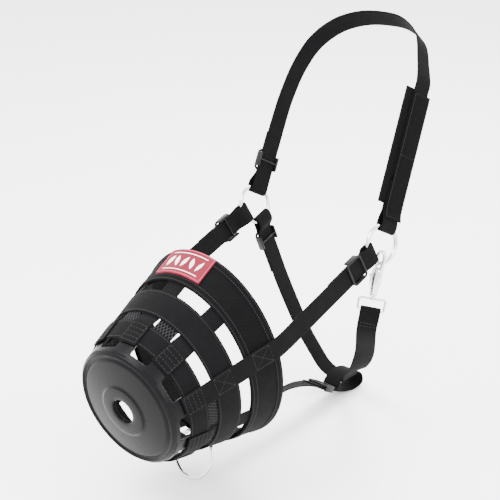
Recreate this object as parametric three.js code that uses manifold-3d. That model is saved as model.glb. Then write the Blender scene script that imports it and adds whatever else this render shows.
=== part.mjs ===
// Basket grazing muzzle built into a webbing halter. Millimetres, +Z up.
// The origin is the centre of the basket's mouth. +X is the near side, -Y is the nose end.
import * as THREE from "three";
import { mergeVertices } from "three/addons/utils/BufferGeometryUtils.js";
import Module from "manifold-3d";

const wasm = await Module();
wasm.setup();

// ---- Driving dimensions --------------------------------------------------------------------

// Stock
const WEB_WIDTH = 25; // halter and basket webbing
const WEB_THICK = 1.6;
const GAP = 0.3; // clearance between pieces that touch
const RING_WIRE = 5;

// Basket
const MOUTH_HALF_WIDTH = 104;
const MOUTH_HALF_HEIGHT = 125;
const CUP_RADIUS = 73.5;
const BASKET_LENGTH = 150.5; // mouth to the cup's lip
const BASKET_DROP = 10; // degrees that the nose end points down
const NOSEBAND_WIDTH = 45;
const REAR_WINDOW = 15;
const MIDDLE_BAND_WIDTH = 32;
const FRONT_WINDOW = 13;
const LOWER_BAND_WIDTH = 26;
const STRAP_END = 3; // how far a strap's stitched end stands past the lower band
const STRAP_ANGLES = [0, 38, 116, 158]; // degrees round from the top, the same on both sides
const CHEEK_ANGLE = 76;
const CHEEK_STATIONS = [100, 65, 30]; // places along the basket that guide the cheek straps
const LINING_INSET = 2;
const PANEL_LAP = 6; // how far a mesh panel reaches under the band each side of its window

// Rubber cup
const CUP_WALL = 3;
const CUP_DEPTH = 7; // closed rim behind the lip
const CUP_DOME = 8;
const BOSS_RADIUS = 31;
const BOSS_HEIGHT = 1.6;
const GRAZING_HOLE_RADIUS = 15.3;
const TAB_WIDTH = 23;
const TAB_LAP = 14; // how far a tab reaches under the lower band

// Badge
const BADGE_WIDTH = 68;
const BADGE_LENGTH = 35;
const BADGE_ANGLE = -5;

// Halter rings
const RING_PER_WEB = 0.94; // radius of the wire's centre line as a share of the webbing it carries
const RING_HALF_SPAN = 102;
const RING_BACK = 194;
const RING_HEIGHT = 94;
const NEAR_RING_TURN = { yaw: -10, pitch: 12 };
const FAR_RING_TURN = { yaw: 176, pitch: -21 };
const LOOP_SLACK = 1.6; // play between a sewn loop and the wire in it

// Lead ring
const LEAD_RING_RADIUS = 29;
const LEAD_RING_SWEEP = 20; // degrees forward of plumb
const LEAD_LOOP_LAP = 11; // sewn length on each band

// Crown strap and its hook-and-loop breakaway
const CROWN_RISE = 276;
const CROWN_HALF_WIDTH = 115;
const CROWN_LEAN = 58; // degrees up from level
const CROWN_ROLL = 0.84; // how far the strap's front edge stands up over the poll
const BREAKAWAY_PAST = 9; // from where the near loop's legs close to the breakaway
const BREAKAWAY_LENGTH = 146.4;
const CROWN_LEAD_OUT = 12; // straight run past the breakaway
const CROWN_LAP = 35.4; // crown strap's end from the breakaway's start
const LOOP_LAP = 28.4; // the near loop's ends past the breakaway's start
const NEAR_CROWN_SHARE = 0.68; // of the half-width, where the near side points
const FAR_CROWN_SHARE = 0.99;
const FAR_CROWN_RISE = 120;
const BREAKAWAY_PANEL_WIDTH = 38;
const BREAKAWAY_FLAP_WIDTH = 28;
const BREAKAWAY_PANEL_SHIFT = 5;
const BREAKAWAY_FLAP_SHIFT = -2;
const FLAP_SHORT = 4; // the flap stops this far short of the panel's top
const FLAP_FOOT = 3; // from where the near loop clears the ring to the flap's foot

// Sliders
const SLIDER_LENGTH = 28;
const SLIDER_BAR = 2.4;
const SLIDER_RAIL = 2.6;
const CHEEK_SLIDER_PAST = 15.4; // from where a strap's legs close to the slider
const THROAT_SLIDER_PAST = 11.4;
const CROWN_SLIDER_PAST = 17.4;
const SLIDER_TRAVEL = 30; // how far a slider can move up its strap's returned end
const CROWN_SLIDER_TRAVEL = 20;
const TAIL_SPARE = 4; // returned end past the slider's last place
const CHIN_SLIDER_BACK = 0.55; // share of the chin strap's straight stretch

// Snap hook
const SNAP_LEAN = 16; // degrees forward of plumb
const HOOK_RISE = 8; // the hook's bend stands this far above the ring's wire
const HOOK_INNER_RADIUS = 4.2;
const HOOK_SECTION = 4.2;
const BARREL_RADIUS = 7;
const BARREL_TOP = -14; // measured along the snap from the centre of the hook's bend
const BARREL_BOTTOM = -49;
const BARREL_SHIFT = -1;
const BOLT_RADIUS = 1.55;
const BOLT_SHIFT = -5.2;
const HOOK_TIP = -3.5;
const BOLT_BOTTOM = -33;
const BOLT_TRAVEL = 8;
const BORE_BOTTOM = -45.5;
const KNOB_HEIGHT = -24;
const KNOB_RADIUS = 1.3;
const SWIVEL_STEM_RADIUS = 1.9;
const SWIVEL_HEAD_RADIUS = 2.5;
const EYE_PLAY = 2.3; // each side of the webbing in the eye
const EYE_HEIGHT = 18;
const EYE_WIRE = 3.2;
const EYE_CORNER = 2.5;
const EYE_TURN = 52; // degrees about the snap's axis
const EYE_LEG_START = 10; // the throat strap's legs below the eye
const EYE_LEG_END = 24;
const SPRING_WIRE_RADIUS = 0.35;
const SPRING_TURNS = 5;

// Throat and chin straps, where they meet under the jaw
const JAW_BACK = 260;
const JAW_DROP = -152;
const CHIN_SLACK = [ // [back, up, degrees rolled] along the chin strap before its straight stretch
  [45, -125, 24],
  [85, -123, 34],
  [125, -119, 30],
  [156, -122, 12],
];
const CHIN_STRAIGHT = { length: 49, rise: 27, past: 1.12, drop: 6 }; // the past in webbing widths
const CHIN_LOOP = [ // [webbing widths back, millimetres up] of the jaw point
  [-0.32, -14],
  [0.56, -18],
  [1.12, -14],
  [1, -1],
  [0.24, 10],
  [-0.56, 10],
  [-1.04, 2],
];
const THROAT_NEAR_DROP = [ // [across past the chin strap's edge, back, up] of the jaw point
  [67.5, -64, 88],
  [42.5, -42, 50],
  [11.5, -17, 20],
  [-1.5, -3, 4],
];
const THROAT_FAR_RISE = [
  [1.5, 0, 1],
  [15.5, -4, 10],
  [31.5, -6, 29],
  [51.5, -10, 60],
];

// ---- Derived frames ------------------------------------------------------------------------

const PITCH = WEB_THICK + GAP; // one layer of webbing to the next
const RING_RADIUS = RING_PER_WEB * WEB_WIDTH;
const EYE_WIDTH = WEB_WIDTH + 2 * (EYE_PLAY + EYE_WIRE);
const BOLT_TOP = HOOK_TIP - GAP;
const X = new THREE.Vector3(1, 0, 0);
const Z = new THREE.Vector3(0, 0, 1);
const FORWARD = new THREE.Vector3(0, -1, 0);
const rad = THREE.MathUtils.degToRad;
const vec = (x, y, z) => new THREE.Vector3(x, y, z);

const BASKET_AXIS = vec(0, -Math.cos(rad(BASKET_DROP)), -Math.sin(rad(BASKET_DROP)));
const BASKET_UP = vec(0, -Math.sin(rad(BASKET_DROP)), Math.cos(rad(BASKET_DROP)));

const MIDDLE_BAND_START = NOSEBAND_WIDTH + REAR_WINDOW;
const MIDDLE_BAND_END = MIDDLE_BAND_START + MIDDLE_BAND_WIDTH;
const LOWER_BAND_START = MIDDLE_BAND_END + FRONT_WINDOW;
const LOWER_BAND_END = LOWER_BAND_START + LOWER_BAND_WIDTH;

// The basket's half-width and half-height at a distance from the mouth.
function girth(s) {
  const k = s / BASKET_LENGTH;
  return [
    THREE.MathUtils.lerp(MOUTH_HALF_WIDTH, CUP_RADIUS, k),
    THREE.MathUtils.lerp(MOUTH_HALF_HEIGHT, CUP_RADIUS, k),
  ];
}

// A point on the basket: s forward of the mouth, angle round from the top, lift off the surface.
function basketPoint(s, angle, lift = 0) {
  const [a, b] = girth(s);
  return BASKET_AXIS.clone()
    .multiplyScalar(s)
    .addScaledVector(X, (a + lift) * Math.sin(angle))
    .addScaledVector(BASKET_UP, (b + lift) * Math.cos(angle));
}

// The direction round the basket at a point, and how many millimetres one radian is there.
function basketAround(s, angle) {
  const [a, b] = girth(s);
  return X.clone()
    .multiplyScalar(a * Math.cos(angle))
    .addScaledVector(BASKET_UP, -b * Math.sin(angle));
}

// How strongly the basket curves at its lowest point.
const sewnBow = MOUTH_HALF_HEIGHT / MOUTH_HALF_WIDTH ** 2;

// The lift of the middle of a webbing layer: 0 is the bands, -1 inside them, +1 outside them.
const layer = (k) => k * PITCH + WEB_THICK / 2;

function facing({ yaw, pitch }) {
  const level = Math.cos(rad(pitch));
  return vec(Math.cos(rad(yaw)) * level, Math.sin(rad(yaw)) * level, Math.sin(rad(pitch)));
}

const nearRing = {
  centre: vec(RING_HALF_SPAN, RING_BACK, RING_HEIGHT),
  normal: facing(NEAR_RING_TURN),
};
const farRing = {
  centre: vec(-RING_HALF_SPAN, RING_BACK, RING_HEIGHT),
  normal: facing(FAR_RING_TURN),
};

// ---- Solids --------------------------------------------------------------------------------

// Merges a geometry's shared vertices and turns its faces outwards.
function closed(geometry) {
  geometry.deleteAttribute("normal");
  geometry.deleteAttribute("uv");
  const merged = mergeVertices(geometry, 1e-4);
  const at = merged.attributes.position;
  const index = merged.index.array;
  const [a, b, c] = [vec(), vec(), vec()];
  let volume = 0;
  for (let i = 0; i < index.length; i += 3) {
    [a, b, c].forEach((v, k) => v.fromBufferAttribute(at, index[i + k]));
    volume += a.dot(b.cross(c));
  }
  if (volume < 0) {
    for (let i = 0; i < index.length; i += 3) {
      [index[i + 1], index[i + 2]] = [index[i + 2], index[i + 1]];
    }
  }
  return merged;
}

// Moves every vertex of a geometry by a function of its position.
function warp(geometry, place) {
  const at = geometry.attributes.position;
  const v = vec();
  for (let i = 0; i < at.count; i++) {
    const moved = place(v.fromBufferAttribute(at, i));
    at.setXYZ(i, moved.x, moved.y, moved.z);
  }
  return closed(geometry);
}

function toManifold(geometry) {
  const g = closed(geometry.clone());
  return new wasm.Manifold(
    new wasm.Mesh({
      numProp: 3,
      vertProperties: new Float32Array(g.attributes.position.array),
      triVerts: new Uint32Array(g.index.array),
    }),
  );
}

function fromManifold(solid) {
  const mesh = solid.getMesh();
  const g = new THREE.BufferGeometry();
  g.setAttribute("position", new THREE.BufferAttribute(new Float32Array(mesh.vertProperties), 3));
  g.setIndex(new THREE.BufferAttribute(new Uint32Array(mesh.triVerts), 1));
  g.computeVertexNormals();
  return g;
}

const joined = (...parts) => fromManifold(parts.map(toManifold).reduce((a, b) => a.add(b)));

function cut(body, ...tools) {
  return fromManifold(tools.map(toManifold).reduce((a, b) => a.subtract(b), toManifold(body)));
}

// A cylinder along Z between two heights.
function rod(radius, low, high, x = 0, y = 0, sides = 20) {
  return new THREE.CylinderGeometry(radius, radius, high - low, sides)
    .rotateX(Math.PI / 2)
    .translate(x, y, (low + high) / 2);
}

function box(lengthX, lengthY, lengthZ, x = 0, y = 0, z = 0) {
  return new THREE.BoxGeometry(lengthX, lengthY, lengthZ).translate(x, y, z);
}

// A profile of [radius, height] corners turned about Z.
function turned(profile, sides = 32) {
  const points = profile.map(([r, h]) => new THREE.Vector2(r, h));
  return new THREE.LatheGeometry(points, sides).rotateX(Math.PI / 2);
}

// A band that goes right round the basket between two distances from the mouth.
function band(start, end, k, thick = WEB_THICK) {
  const hub = 100; // the lathe's own radius, taken off again below
  const low = layer(k) - thick / 2;
  const corners = [
    [low, start],
    [low + thick, start],
    [low + thick, end],
    [low, end],
    [low, start],
  ];
  const lathe = new THREE.LatheGeometry(
    corners.map(([lift, s]) => new THREE.Vector2(hub + lift, s)),
    72,
  );
  return warp(lathe, (v) => basketPoint(v.y, Math.atan2(v.x, v.z), Math.hypot(v.x, v.z) - hub));
}

// A patch on the basket that keeps its width in millimetres. route is [s, lift] along its middle.
function patch(angle, width, route, { thick = WEB_THICK, columns = 3, steps = 2 } = {}) {
  const curve = new THREE.CatmullRomCurve3(route.map(([s, lift]) => vec(s, lift, 0)));
  const count = (route.length - 1) * steps;
  const blank = new THREE.BoxGeometry(width, thick, 1, columns, 1, count);
  return warp(blank, (v) => {
    const { x: s, y: lift } = curve.getPoint(v.z + 0.5);
    const turn = v.x / basketAround(s, angle).length();
    return basketPoint(s, angle + turn, lift + v.y);
  });
}

// A strap along stations of { at, across, bow }: a place, the direction of the strap's width, and
// how strongly its section is bowed, which is nought where it lies flat.
function strap(
  stations,
  { width = WEB_WIDTH, thick = WEB_THICK, steps = 3, columns = 1, shift = 0 } = {},
) {
  const spans = stations.length - 1;
  const curve = new THREE.CatmullRomCurve3(stations.map(({ at }) => at));
  const blank = new THREE.BoxGeometry(width, thick, 1, columns, 1, spans * steps);
  return warp(blank, (v) => {
    const t = v.z + 0.5;
    const u = t * spans;
    const i = Math.min(Math.floor(u), spans - 1);
    const along = curve.getTangent(t);
    const across = stations[i].across.clone().lerp(stations[i + 1].across, u - i);
    across.addScaledVector(along, -across.dot(along)).normalize();
    const face = along.clone().cross(across);
    const bow = THREE.MathUtils.lerp(stations[i].bow, stations[i + 1].bow, u - i);
    return curve
      .getPoint(t)
      .addScaledVector(across, v.x + shift)
      .addScaledVector(face, v.y - (bow * v.x ** 2) / 2);
  });
}

const station = (at, across, bow = 0) => ({ at, across, bow });

// Where a strap of webbing width can turn round a ring's wire without its edges touching it.
const TURN_DEPTH = Math.sqrt(RING_RADIUS ** 2 - (WEB_WIDTH / 2) ** 2);
const TURN_RADIUS = RING_WIRE / 2 + LOOP_SLACK + WEB_THICK / 2;
const LEG_CLEAR = RING_RADIUS + RING_WIRE / 2 + LOOP_SLACK + 1; // ring centre to where the legs may close
const LEG_CLOSED = LEG_CLEAR + 12;
const LEG_STRAIGHT = LEG_CLOSED + 8;

// Ring centre to the sliders and the breakaway.
const CHEEK_SLIDER_REACH = LEG_CLOSED + CHEEK_SLIDER_PAST;
const THROAT_SLIDER_REACH = LEG_CLOSED + THROAT_SLIDER_PAST;
const CROWN_SLIDER_REACH = LEG_CLOSED + CROWN_SLIDER_PAST;
const BREAKAWAY_START = LEG_CLOSED + BREAKAWAY_PAST;
const BREAKAWAY_END = BREAKAWAY_START + BREAKAWAY_LENGTH;

// The frame of a strap that reaches a ring from a place: away from the centre, and across.
function ringFrame(ring, from) {
  const away = from.clone().sub(ring.centre);
  const across = ring.normal.clone().cross(away).normalize();
  const out = across.clone().cross(ring.normal).normalize();
  away.addScaledVector(across, -away.dot(across)).normalize();
  const face = across.clone().cross(away).normalize();
  return { centre: ring.centre, away, across, out, face };
}

// Stations of the turn round the wire: in on the face's side (-1 for the other), out on the other.
function ringTurn({ centre, away, across, out, face }, entry = 1) {
  const hub = centre.clone().addScaledVector(out, TURN_DEPTH);
  const place = (u, lift) =>
    station(
      hub
        .clone()
        .addScaledVector(away, u)
        .addScaledVector(face, entry * lift),
      across,
    );
  const reach = LEG_CLEAR - TURN_DEPTH;
  const stations = [place(reach, TURN_RADIUS)];
  for (let degrees = 90; degrees >= -90; degrees -= 30) {
    const turn = rad(degrees);
    stations.push(place(-TURN_RADIUS * Math.cos(turn), TURN_RADIUS * Math.sin(turn)));
  }
  stations.push(place(reach, -TURN_RADIUS));
  return stations;
}

// A place beside a ring on the line of a strap that leaves it.
function beside({ centre, away, across, face }, u, lift) {
  return station(centre.clone().addScaledVector(away, u).addScaledVector(face, lift), across);
}

// ---- Finishes ------------------------------------------------------------------------------

const webbing = () => new THREE.MeshStandardMaterial({ color: 0x1b1b1d, roughness: 0.85 });
const spacerMesh = () => new THREE.MeshStandardMaterial({ color: 0x141416, roughness: 0.95 });
const fleece = () => new THREE.MeshStandardMaterial({ color: 0x202022, roughness: 1 });
const rubber = () => new THREE.MeshStandardMaterial({ color: 0x2a2b2d, roughness: 0.35 });
const badgeVinyl = () => new THREE.MeshStandardMaterial({ color: 0xa51f2f, roughness: 0.45 });
const chrome = () => new THREE.MeshStandardMaterial({ color: 0xe6e7ea, roughness: 0.12, metalness: 1 });
const acetal = () => new THREE.MeshStandardMaterial({ color: 0x0d0d0e, roughness: 0.3 });
const springSteel = () => new THREE.MeshStandardMaterial({ color: 0x9a9ca0, roughness: 0.3, metalness: 1 });

const muzzle = new THREE.Group();

function add(parent, name, geometry, material) {
  geometry.computeVertexNormals();
  const mesh = new THREE.Mesh(geometry, material);
  mesh.name = name;
  parent.add(mesh);
  return mesh;
}

// ---- Basket --------------------------------------------------------------------------------

add(muzzle, "noseband", band(0, NOSEBAND_WIDTH, 0), webbing());
add(muzzle, "noseband_lining", band(LINING_INSET, NOSEBAND_WIDTH - LINING_INSET, -2), fleece());
add(muzzle, "middle_band", band(MIDDLE_BAND_START, MIDDLE_BAND_END, 0), webbing());
add(muzzle, "lower_band", band(LOWER_BAND_START, LOWER_BAND_END, 0), webbing());

// Inside the noseband and the middle band, then out over the lower band.
const innerRoute = [
  [LINING_INSET + 2, layer(-1)],
  [NOSEBAND_WIDTH, layer(-1)],
  [MIDDLE_BAND_START, layer(-1)],
  [MIDDLE_BAND_END - 4, layer(-1)],
  [MIDDLE_BAND_END + 0.5, layer(-1)],
  [LOWER_BAND_START - 0.5, layer(1)],
  [LOWER_BAND_START + 4, layer(1)],
  [LOWER_BAND_END + STRAP_END, layer(1)],
];
const sides = [
  ["near", 1],
  ["far", -1],
];
STRAP_ANGLES.forEach((degrees, i) => {
  const names = ["top", "upper", "lower", "under"];
  const copies = degrees ? sides.map(([side, sign]) => [side + "_", sign]) : [["", 1]];
  for (const [prefix, sign] of copies) {
    const name = prefix + names[i] + "_basket_strap";
    add(muzzle, name, patch(rad(sign * degrees), WEB_WIDTH, innerRoute), webbing());
  }
});

// Spacer mesh behind the front windows, beside the straps.
const frontGirth = basketAround(MIDDLE_BAND_END, 0).length();
const strapHalfTurn = THREE.MathUtils.radToDeg((WEB_WIDTH / 2 + 2) / frontGirth);
const panelRoute = [
  [MIDDLE_BAND_END - PANEL_LAP, layer(-1)],
  [LOWER_BAND_START + PANEL_LAP, layer(-1)],
];
const panels = [
  ["upper_mesh_panel", STRAP_ANGLES[0] + strapHalfTurn, STRAP_ANGLES[1] - strapHalfTurn],
  ["lower_mesh_panel", CHEEK_ANGLE - strapHalfTurn / 2, STRAP_ANGLES[2] - strapHalfTurn],
];
for (const [name, from, to] of panels) {
  for (const [side, sign] of sides) {
    const middle = rad((sign * (from + to)) / 2);
    const width = rad(to - from) * basketAround(LOWER_BAND_START, middle).length();
    add(muzzle, side + "_" + name, patch(middle, width, panelRoute, { columns: 4 }), spacerMesh());
  }
}

const badgeRoute = [
  [1, layer(1)],
  [1 + BADGE_LENGTH, layer(1)],
];
const badgeOptions = { columns: 8, steps: 3 };
add(muzzle, "badge", patch(rad(BADGE_ANGLE), BADGE_WIDTH, badgeRoute, badgeOptions), badgeVinyl());

// ---- Rubber cup ----------------------------------------------------------------------------

// The profile is [radius, height forward of the mouth], closed round the wall.
function domeHeight(r) {
  return BASKET_LENGTH + CUP_DOME * (1 - (r / CUP_RADIUS) ** 2);
}
function cupProfile() {
  const face = [
    [GRAZING_HOLE_RADIUS, domeHeight(BOSS_RADIUS) + BOSS_HEIGHT],
    [BOSS_RADIUS, domeHeight(BOSS_RADIUS) + BOSS_HEIGHT],
    [BOSS_RADIUS + BOSS_HEIGHT, domeHeight(BOSS_RADIUS + BOSS_HEIGHT)],
  ];
  const steps = 5;
  for (let i = 1; i <= steps; i++) {
    const r = THREE.MathUtils.lerp(BOSS_RADIUS + BOSS_HEIGHT, CUP_RADIUS - 2, i / steps);
    face.push([r, domeHeight(r)]);
  }
  const lip = [
    [CUP_RADIUS, BASKET_LENGTH - 1.5],
    [CUP_RADIUS, BASKET_LENGTH - CUP_DEPTH],
    [CUP_RADIUS - CUP_WALL, BASKET_LENGTH - CUP_DEPTH],
  ];
  const back = [
    [CUP_RADIUS - CUP_WALL, BASKET_LENGTH - CUP_WALL - 1],
    [BOSS_RADIUS, domeHeight(BOSS_RADIUS) - CUP_WALL],
    [GRAZING_HOLE_RADIUS, domeHeight(GRAZING_HOLE_RADIUS) - CUP_WALL],
  ];
  const outline = [...face, ...lip, ...back];
  return [...outline, outline[0]];
}
function cupShell() {
  const points = cupProfile().map(([r, h]) => new THREE.Vector2(r, h));
  return warp(new THREE.LatheGeometry(points, 60), (v) =>
    BASKET_AXIS.clone()
      .multiplyScalar(v.y)
      .addScaledVector(X, v.x)
      .addScaledVector(BASKET_UP, v.z),
  );
}
const tabRoute = [
  [LOWER_BAND_END - TAB_LAP, -GAP - CUP_WALL / 2],
  [BASKET_LENGTH - CUP_DEPTH / 2, -CUP_WALL / 2],
];
const tabAngles = [0];
for (const degrees of [...STRAP_ANGLES.slice(1), CHEEK_ANGLE]) {
  tabAngles.push(degrees, -degrees);
}
const tabs = tabAngles.map((degrees) =>
  patch(rad(degrees), TAB_WIDTH, tabRoute, { thick: CUP_WALL, columns: 4, steps: 3 }),
);
add(muzzle, "rubber_cup", joined(cupShell(), ...tabs), rubber());

// ---- Lead ring under the basket ------------------------------------------------------------

const leadLoopMiddle = NOSEBAND_WIDTH + REAR_WINDOW / 2;
const leadLoopRoute = [
  [NOSEBAND_WIDTH - LEAD_LOOP_LAP, layer(1)],
  [MIDDLE_BAND_START + LEAD_LOOP_LAP, layer(1)],
];
add(muzzle, "lead_ring_loop", patch(Math.PI, WEB_WIDTH, leadLoopRoute), webbing());

// The ring hangs round the loop, low enough that the loop's edges clear the wire.
const leadRing = new THREE.Group();
leadRing.position.copy(basketPoint(leadLoopMiddle, Math.PI, layer(1)));
leadRing.rotation.x = rad(-LEAD_RING_SWEEP);
const loopEdgeRise = WEB_THICK / 2 + (sewnBow * (WEB_WIDTH / 2) ** 2) / 2;
const leadInner = LEAD_RING_RADIUS - RING_WIRE / 2 - 4 * GAP;
const leadHang = Math.sqrt(leadInner ** 2 - (WEB_WIDTH / 2) ** 2) - loopEdgeRise;
const leadWire = add(
  leadRing,
  "lead_ring",
  closed(new THREE.TorusGeometry(LEAD_RING_RADIUS, RING_WIRE / 2, 10, 32).rotateX(Math.PI / 2)),
  chrome(),
);
leadWire.position.z = -leadHang;
muzzle.add(leadRing);

// ---- Halter rings --------------------------------------------------------------------------

for (const [name, ring] of [
  ["near_ring", nearRing],
  ["far_ring", farRing],
]) {
  const torus = closed(new THREE.TorusGeometry(RING_RADIUS, RING_WIRE / 2, 10, 28));
  const mesh = add(muzzle, name, torus, chrome());
  mesh.position.copy(ring.centre);
  mesh.quaternion.setFromUnitVectors(Z, ring.normal);
}

// ---- Sliders -------------------------------------------------------------------------------

// A three-bar slider on a doubled strap: x across, y through the layers, z along the strap.
// The strap's own layer is at y = 0 and the returned end is at y = PITCH.
function sliderGeometry(outerSide) {
  const bar = SLIDER_BAR / 2;
  const strapFace = WEB_THICK / 2 + GAP + bar;
  const endBars = outerSide > 0 ? PITCH + strapFace : -strapFace;
  const centreBar = outerSide > 0 ? -strapFace : PITCH + strapFace;
  const inside = WEB_WIDTH / 2 + 2 * GAP;
  const span = 2 * (inside + SLIDER_RAIL / 2);
  const low = Math.min(endBars, centreBar) - bar;
  const high = Math.max(endBars, centreBar) + bar;
  const cross = (y, z) => rod(bar, -span / 2, span / 2, 0, 0, 10).rotateY(Math.PI / 2).translate(0, y, z);
  const rails = [1, -1].map((sign) =>
    box(SLIDER_RAIL, high - low + GAP, SLIDER_LENGTH, (sign * span) / 2, (high + low) / 2, 0),
  );
  const end = SLIDER_LENGTH / 2 - bar - GAP;
  return joined(...rails, cross(endBars, end), cross(endBars, -end), cross(centreBar, 0));
}

function addSlider(name, at, across, face, outerSide) {
  const mesh = add(muzzle, name, sliderGeometry(outerSide), acetal());
  mesh.position.copy(at);
  const along = across.clone().cross(face);
  mesh.quaternion.setFromRotationMatrix(new THREE.Matrix4().makeBasis(across, face, along));
}

// Where the returned end of a strap stops, for a slider at a place with a travel.
const tailReach = (reach, travel) => reach + travel + SLIDER_LENGTH / 2 + TAIL_SPARE;

// ---- Cheek straps --------------------------------------------------------------------------

// From the cup, outside all the bands, to the halter ring, round it and back through the slider.
// The strap leaves the basket on the +X side of its returned end, on both sides.
for (const [side, sign, ring] of [
  ["near", 1, nearRing],
  ["far", -1, farRing],
]) {
  const angle = rad(sign * CHEEK_ANGLE);
  const onBasket = (s) => station(basketPoint(s, angle, layer(1)), basketAround(s, angle).normalize());
  const mouth = onBasket(0);
  const frame = ringFrame(ring, mouth.at);
  const main = (-sign * PITCH) / 2;
  const tailEnd = tailReach(CHEEK_SLIDER_REACH, SLIDER_TRAVEL);
  const stations = [
    ...[LOWER_BAND_END + STRAP_END, ...CHEEK_STATIONS].map(onBasket),
    mouth,
    beside(frame, tailEnd + 60, main),
    beside(frame, tailEnd + 20, main),
    beside(frame, tailEnd, main),
    beside(frame, CHEEK_SLIDER_REACH, main),
    beside(frame, LEG_CLOSED, main),
    ...ringTurn(frame, -sign),
    beside(frame, LEG_CLOSED, -main),
    beside(frame, CHEEK_SLIDER_REACH, -main),
    beside(frame, tailEnd, -main),
  ];
  add(muzzle, side + "_cheek_strap", strap(stations), webbing());
  const at = beside(frame, CHEEK_SLIDER_REACH, main).at;
  const toTail = frame.face.clone().multiplyScalar(sign);
  addSlider(side + "_cheek_slider", at, frame.across, toTail, -sign);
}

// ---- Crown strap and breakaway -------------------------------------------------------------

const CROWN_UP = vec(0, Math.cos(rad(CROWN_LEAN)), Math.sin(rad(CROWN_LEAN)));
const crownPoint = (x, height) =>
  vec(x, RING_BACK, RING_HEIGHT).addScaledVector(CROWN_UP, height);

const nearTop = crownPoint(NEAR_CROWN_SHARE * CROWN_HALF_WIDTH, BREAKAWAY_END);
const nearCrown = ringFrame(nearRing, nearTop);
const farTop = crownPoint(-FAR_CROWN_SHARE * CROWN_HALF_WIDTH, FAR_CROWN_RISE);
const farCrown = ringFrame(farRing, farTop);

// Over the poll from the near side to the far side: shares of the half-width and of the rise.
const crownArch = [
  [0.6, 0.83],
  [0.45, 0.94],
  [0.2, 0.995],
  [-0.08, 1],
  [-0.38, 0.978],
  [-0.66, 0.92],
  [-0.87, 0.82],
  [-0.97, 0.69],
  [-0.995, 0.53],
];
function archAcross(k) {
  return nearCrown.across
    .clone()
    .lerp(farCrown.across.clone().negate(), k)
    .addScaledVector(Z, CROWN_ROLL * Math.sin(Math.PI * k))
    .normalize();
}
const crownEnd = BREAKAWAY_START + CROWN_LAP;
const crownTail = tailReach(CROWN_SLIDER_REACH, CROWN_SLIDER_TRAVEL);
const flipped = (s) => station(s.at, s.across.clone().negate());
const farSide = [
  beside(farCrown, crownTail + 14, PITCH / 2),
  beside(farCrown, crownTail, PITCH / 2),
  beside(farCrown, CROWN_SLIDER_REACH, PITCH / 2),
  beside(farCrown, LEG_CLOSED, PITCH / 2),
  ...ringTurn(farCrown),
  beside(farCrown, LEG_CLOSED, -PITCH / 2),
  beside(farCrown, CROWN_SLIDER_REACH, -PITCH / 2),
  beside(farCrown, crownTail, -PITCH / 2),
].map(flipped);
const crownStations = [
  beside(nearCrown, crownEnd, -PITCH),
  beside(nearCrown, (crownEnd + BREAKAWAY_END) / 2, -PITCH),
  beside(nearCrown, BREAKAWAY_END, -PITCH),
  beside(nearCrown, BREAKAWAY_END + CROWN_LEAD_OUT, -PITCH),
  ...crownArch.map(([x, w], i) =>
    station(crownPoint(x * CROWN_HALF_WIDTH, w * CROWN_RISE), archAcross((i + 1) / (crownArch.length + 1))),
  ),
  ...farSide,
];
add(muzzle, "crown_strap", strap(crownStations), webbing());
addSlider(
  "crown_slider",
  beside(farCrown, CROWN_SLIDER_REACH, PITCH / 2).at,
  farCrown.across,
  farCrown.face.clone().negate(),
  1,
);

const loopEnd = BREAKAWAY_START + LOOP_LAP;
const breakawayLoop = [
  beside(nearCrown, loopEnd, PITCH),
  beside(nearCrown, LEG_STRAIGHT, PITCH),
  beside(nearCrown, LEG_CLOSED, PITCH),
  ...ringTurn(nearCrown),
  beside(nearCrown, LEG_CLOSED, -PITCH),
  beside(nearCrown, LEG_STRAIGHT, -PITCH),
  beside(nearCrown, loopEnd, -PITCH),
];
add(muzzle, "breakaway_loop", strap(breakawayLoop), webbing());

function breakawayLayer(start, end, lift) {
  return [start, (start + end) / 2, end].map((u) => beside(nearCrown, u, lift));
}
const flapStations = [
  beside(nearCrown, LEG_CLEAR + FLAP_FOOT, -TURN_RADIUS - PITCH),
  beside(nearCrown, LEG_CLOSED, -2.2 * PITCH),
  ...breakawayLayer(BREAKAWAY_START, BREAKAWAY_END - FLAP_SHORT, -2 * PITCH),
];
add(
  muzzle,
  "breakaway_panel",
  strap(breakawayLayer(LEG_STRAIGHT, BREAKAWAY_END, 0), {
    width: BREAKAWAY_PANEL_WIDTH,
    shift: BREAKAWAY_PANEL_SHIFT,
  }),
  fleece(),
);
add(
  muzzle,
  "breakaway_flap",
  strap(flapStations, {
    width: BREAKAWAY_FLAP_WIDTH,
    shift: BREAKAWAY_FLAP_SHIFT,
  }),
  webbing(),
);

// ---- Snap hook -----------------------------------------------------------------------------

// The snap's own frame: z up its length, y along the ring's wire, origin in the hook's bend.
const snapUp = vec(0, Math.sin(rad(SNAP_LEAN)), Math.cos(rad(SNAP_LEAN)));
const snapFrame = ringFrame(nearRing, nearRing.centre.clone().sub(snapUp));
const snap = new THREE.Group();
snap.position
  .copy(nearRing.centre)
  .addScaledVector(snapFrame.out, RING_RADIUS)
  .addScaledVector(snapUp, HOOK_RISE);
const snapY = snapFrame.across.clone().addScaledVector(snapUp, -snapFrame.across.dot(snapUp)).normalize();
const snapX = snapY.clone().cross(snapUp);
snap.quaternion.setFromRotationMatrix(new THREE.Matrix4().makeBasis(snapX, snapY, snapUp));
muzzle.add(snap);

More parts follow.
